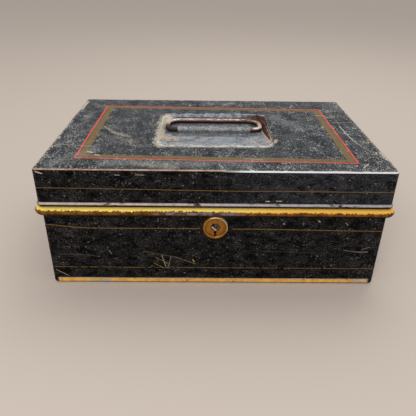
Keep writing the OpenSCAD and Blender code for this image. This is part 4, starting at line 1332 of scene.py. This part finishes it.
def pale_floor():
    """A large pale floor that keeps the box's shadow."""
    size = 6.0
    mesh = bpy.data.meshes.new("floor")
    corners = [(-size, -size, 0.0), (size, -size, 0.0), (size, size, 0.0), (-size, size, 0.0)]
    mesh.from_pydata(corners, [], [(0, 1, 2, 3)])
    floor = bpy.data.objects.new("floor", mesh)
    bpy.context.scene.collection.objects.link(floor)
    material = bpy.data.materials.new("floor")
    material.use_nodes = True
    shader = material.node_tree.nodes["Principled BSDF"]
    shader.inputs["Base Color"].default_value = paint(214, 200, 188)
    shader.inputs["Roughness"].default_value = 0.85
    shader.inputs["Specular IOR Level"].default_value = 0.1
    mesh.materials.append(material)


def lamp(name, place, aim, size, power, colour=(1.0, 1.0, 1.0)):
    """A square soft lamp at place, turned towards aim."""
    data = bpy.data.lights.new(name, "AREA")
    data.shape = "SQUARE"
    data.size = size
    data.energy = power
    data.color = colour
    item = bpy.data.objects.new(name, data)
    item.location = place
    item.rotation_euler = (Vector(aim) - Vector(place)).to_track_quat("-Z", "Y").to_euler()
    bpy.context.scene.collection.objects.link(item)


def soft_light():
    """Plain studio light: an even white world, a lamp above and behind, and one in front."""
    world = bpy.data.worlds.new("studio")
    bpy.context.scene.world = world
    world.use_nodes = True
    sky = world.node_tree.nodes["Background"]
    sky.inputs["Color"].default_value = (1.0, 1.0, 1.0, 1.0)
    sky.inputs["Strength"].default_value = 0.55
    lamp("over_lamp", (0.25, 0.55, 1.25), (0.0, 0.0, 0.1), 0.9, 4.5, (1.0, 0.99, 0.97))
    lamp("front_lamp", (-0.35, -1.3, 0.95), (0.0, 0.0, 0.06), 0.8, 9.5)
    bpy.context.scene.view_settings.view_transform = "Standard"


def photo_camera():
    """The photograph's view: place, turn and lens come from the box's corners in the picture."""
    data = bpy.data.cameras.new("photo_camera")
    data.sensor_width = 36.0
    data.lens = 39.228
    data.clip_start = 0.01
    camera = bpy.data.objects.new("photo_camera", data)
    camera.location = (-11.882 * MM, -445.517 * MM, 271.308 * MM)
    camera.rotation_euler = tuple(math.radians(turn) for turn in (61.008, -0.7737, -0.4366))
    bpy.context.scene.collection.objects.link(camera)
    bpy.context.scene.camera = camera


PIECES = (DEEDBOX_OT_lid, DEEDBOX_OT_body, DEEDBOX_OT_handle, DEEDBOX_OT_hinges, DEEDBOX_OT_lock,
          DEEDBOX_OT_stage)


class DEEDBOX_PT_panel(bpy.types.Panel):
    """Lists the pieces of the deed box and its looks"""

    bl_idname = "DEEDBOX_PT_panel"
    bl_label = "Deed box"
    bl_space_type = "VIEW_3D"
    bl_region_type = "UI"
    bl_category = "Deed box"

    def draw(self, context):
        looks = context.scene.deed_box
        for name in BoxLooks.__annotations__:
            self.layout.prop(looks, name)
        for piece in PIECES:
            self.layout.operator(piece.bl_idname)


CLASSES = (BoxLooks, *PIECES, DEEDBOX_PT_panel)


def register():
    for item in CLASSES:
        bpy.utils.register_class(item)
    bpy.types.Scene.deed_box = bpy.props.PointerProperty(type=BoxLooks)


def unregister():
    del bpy.types.Scene.deed_box
    for item in reversed(CLASSES):
        bpy.utils.unregister_class(item)


def main():
    register()
    for piece in PIECES:
        group, name = piece.bl_idname.split(".")
        getattr(getattr(bpy.ops, group), name)()


if __name__ == "__main__":
    main()
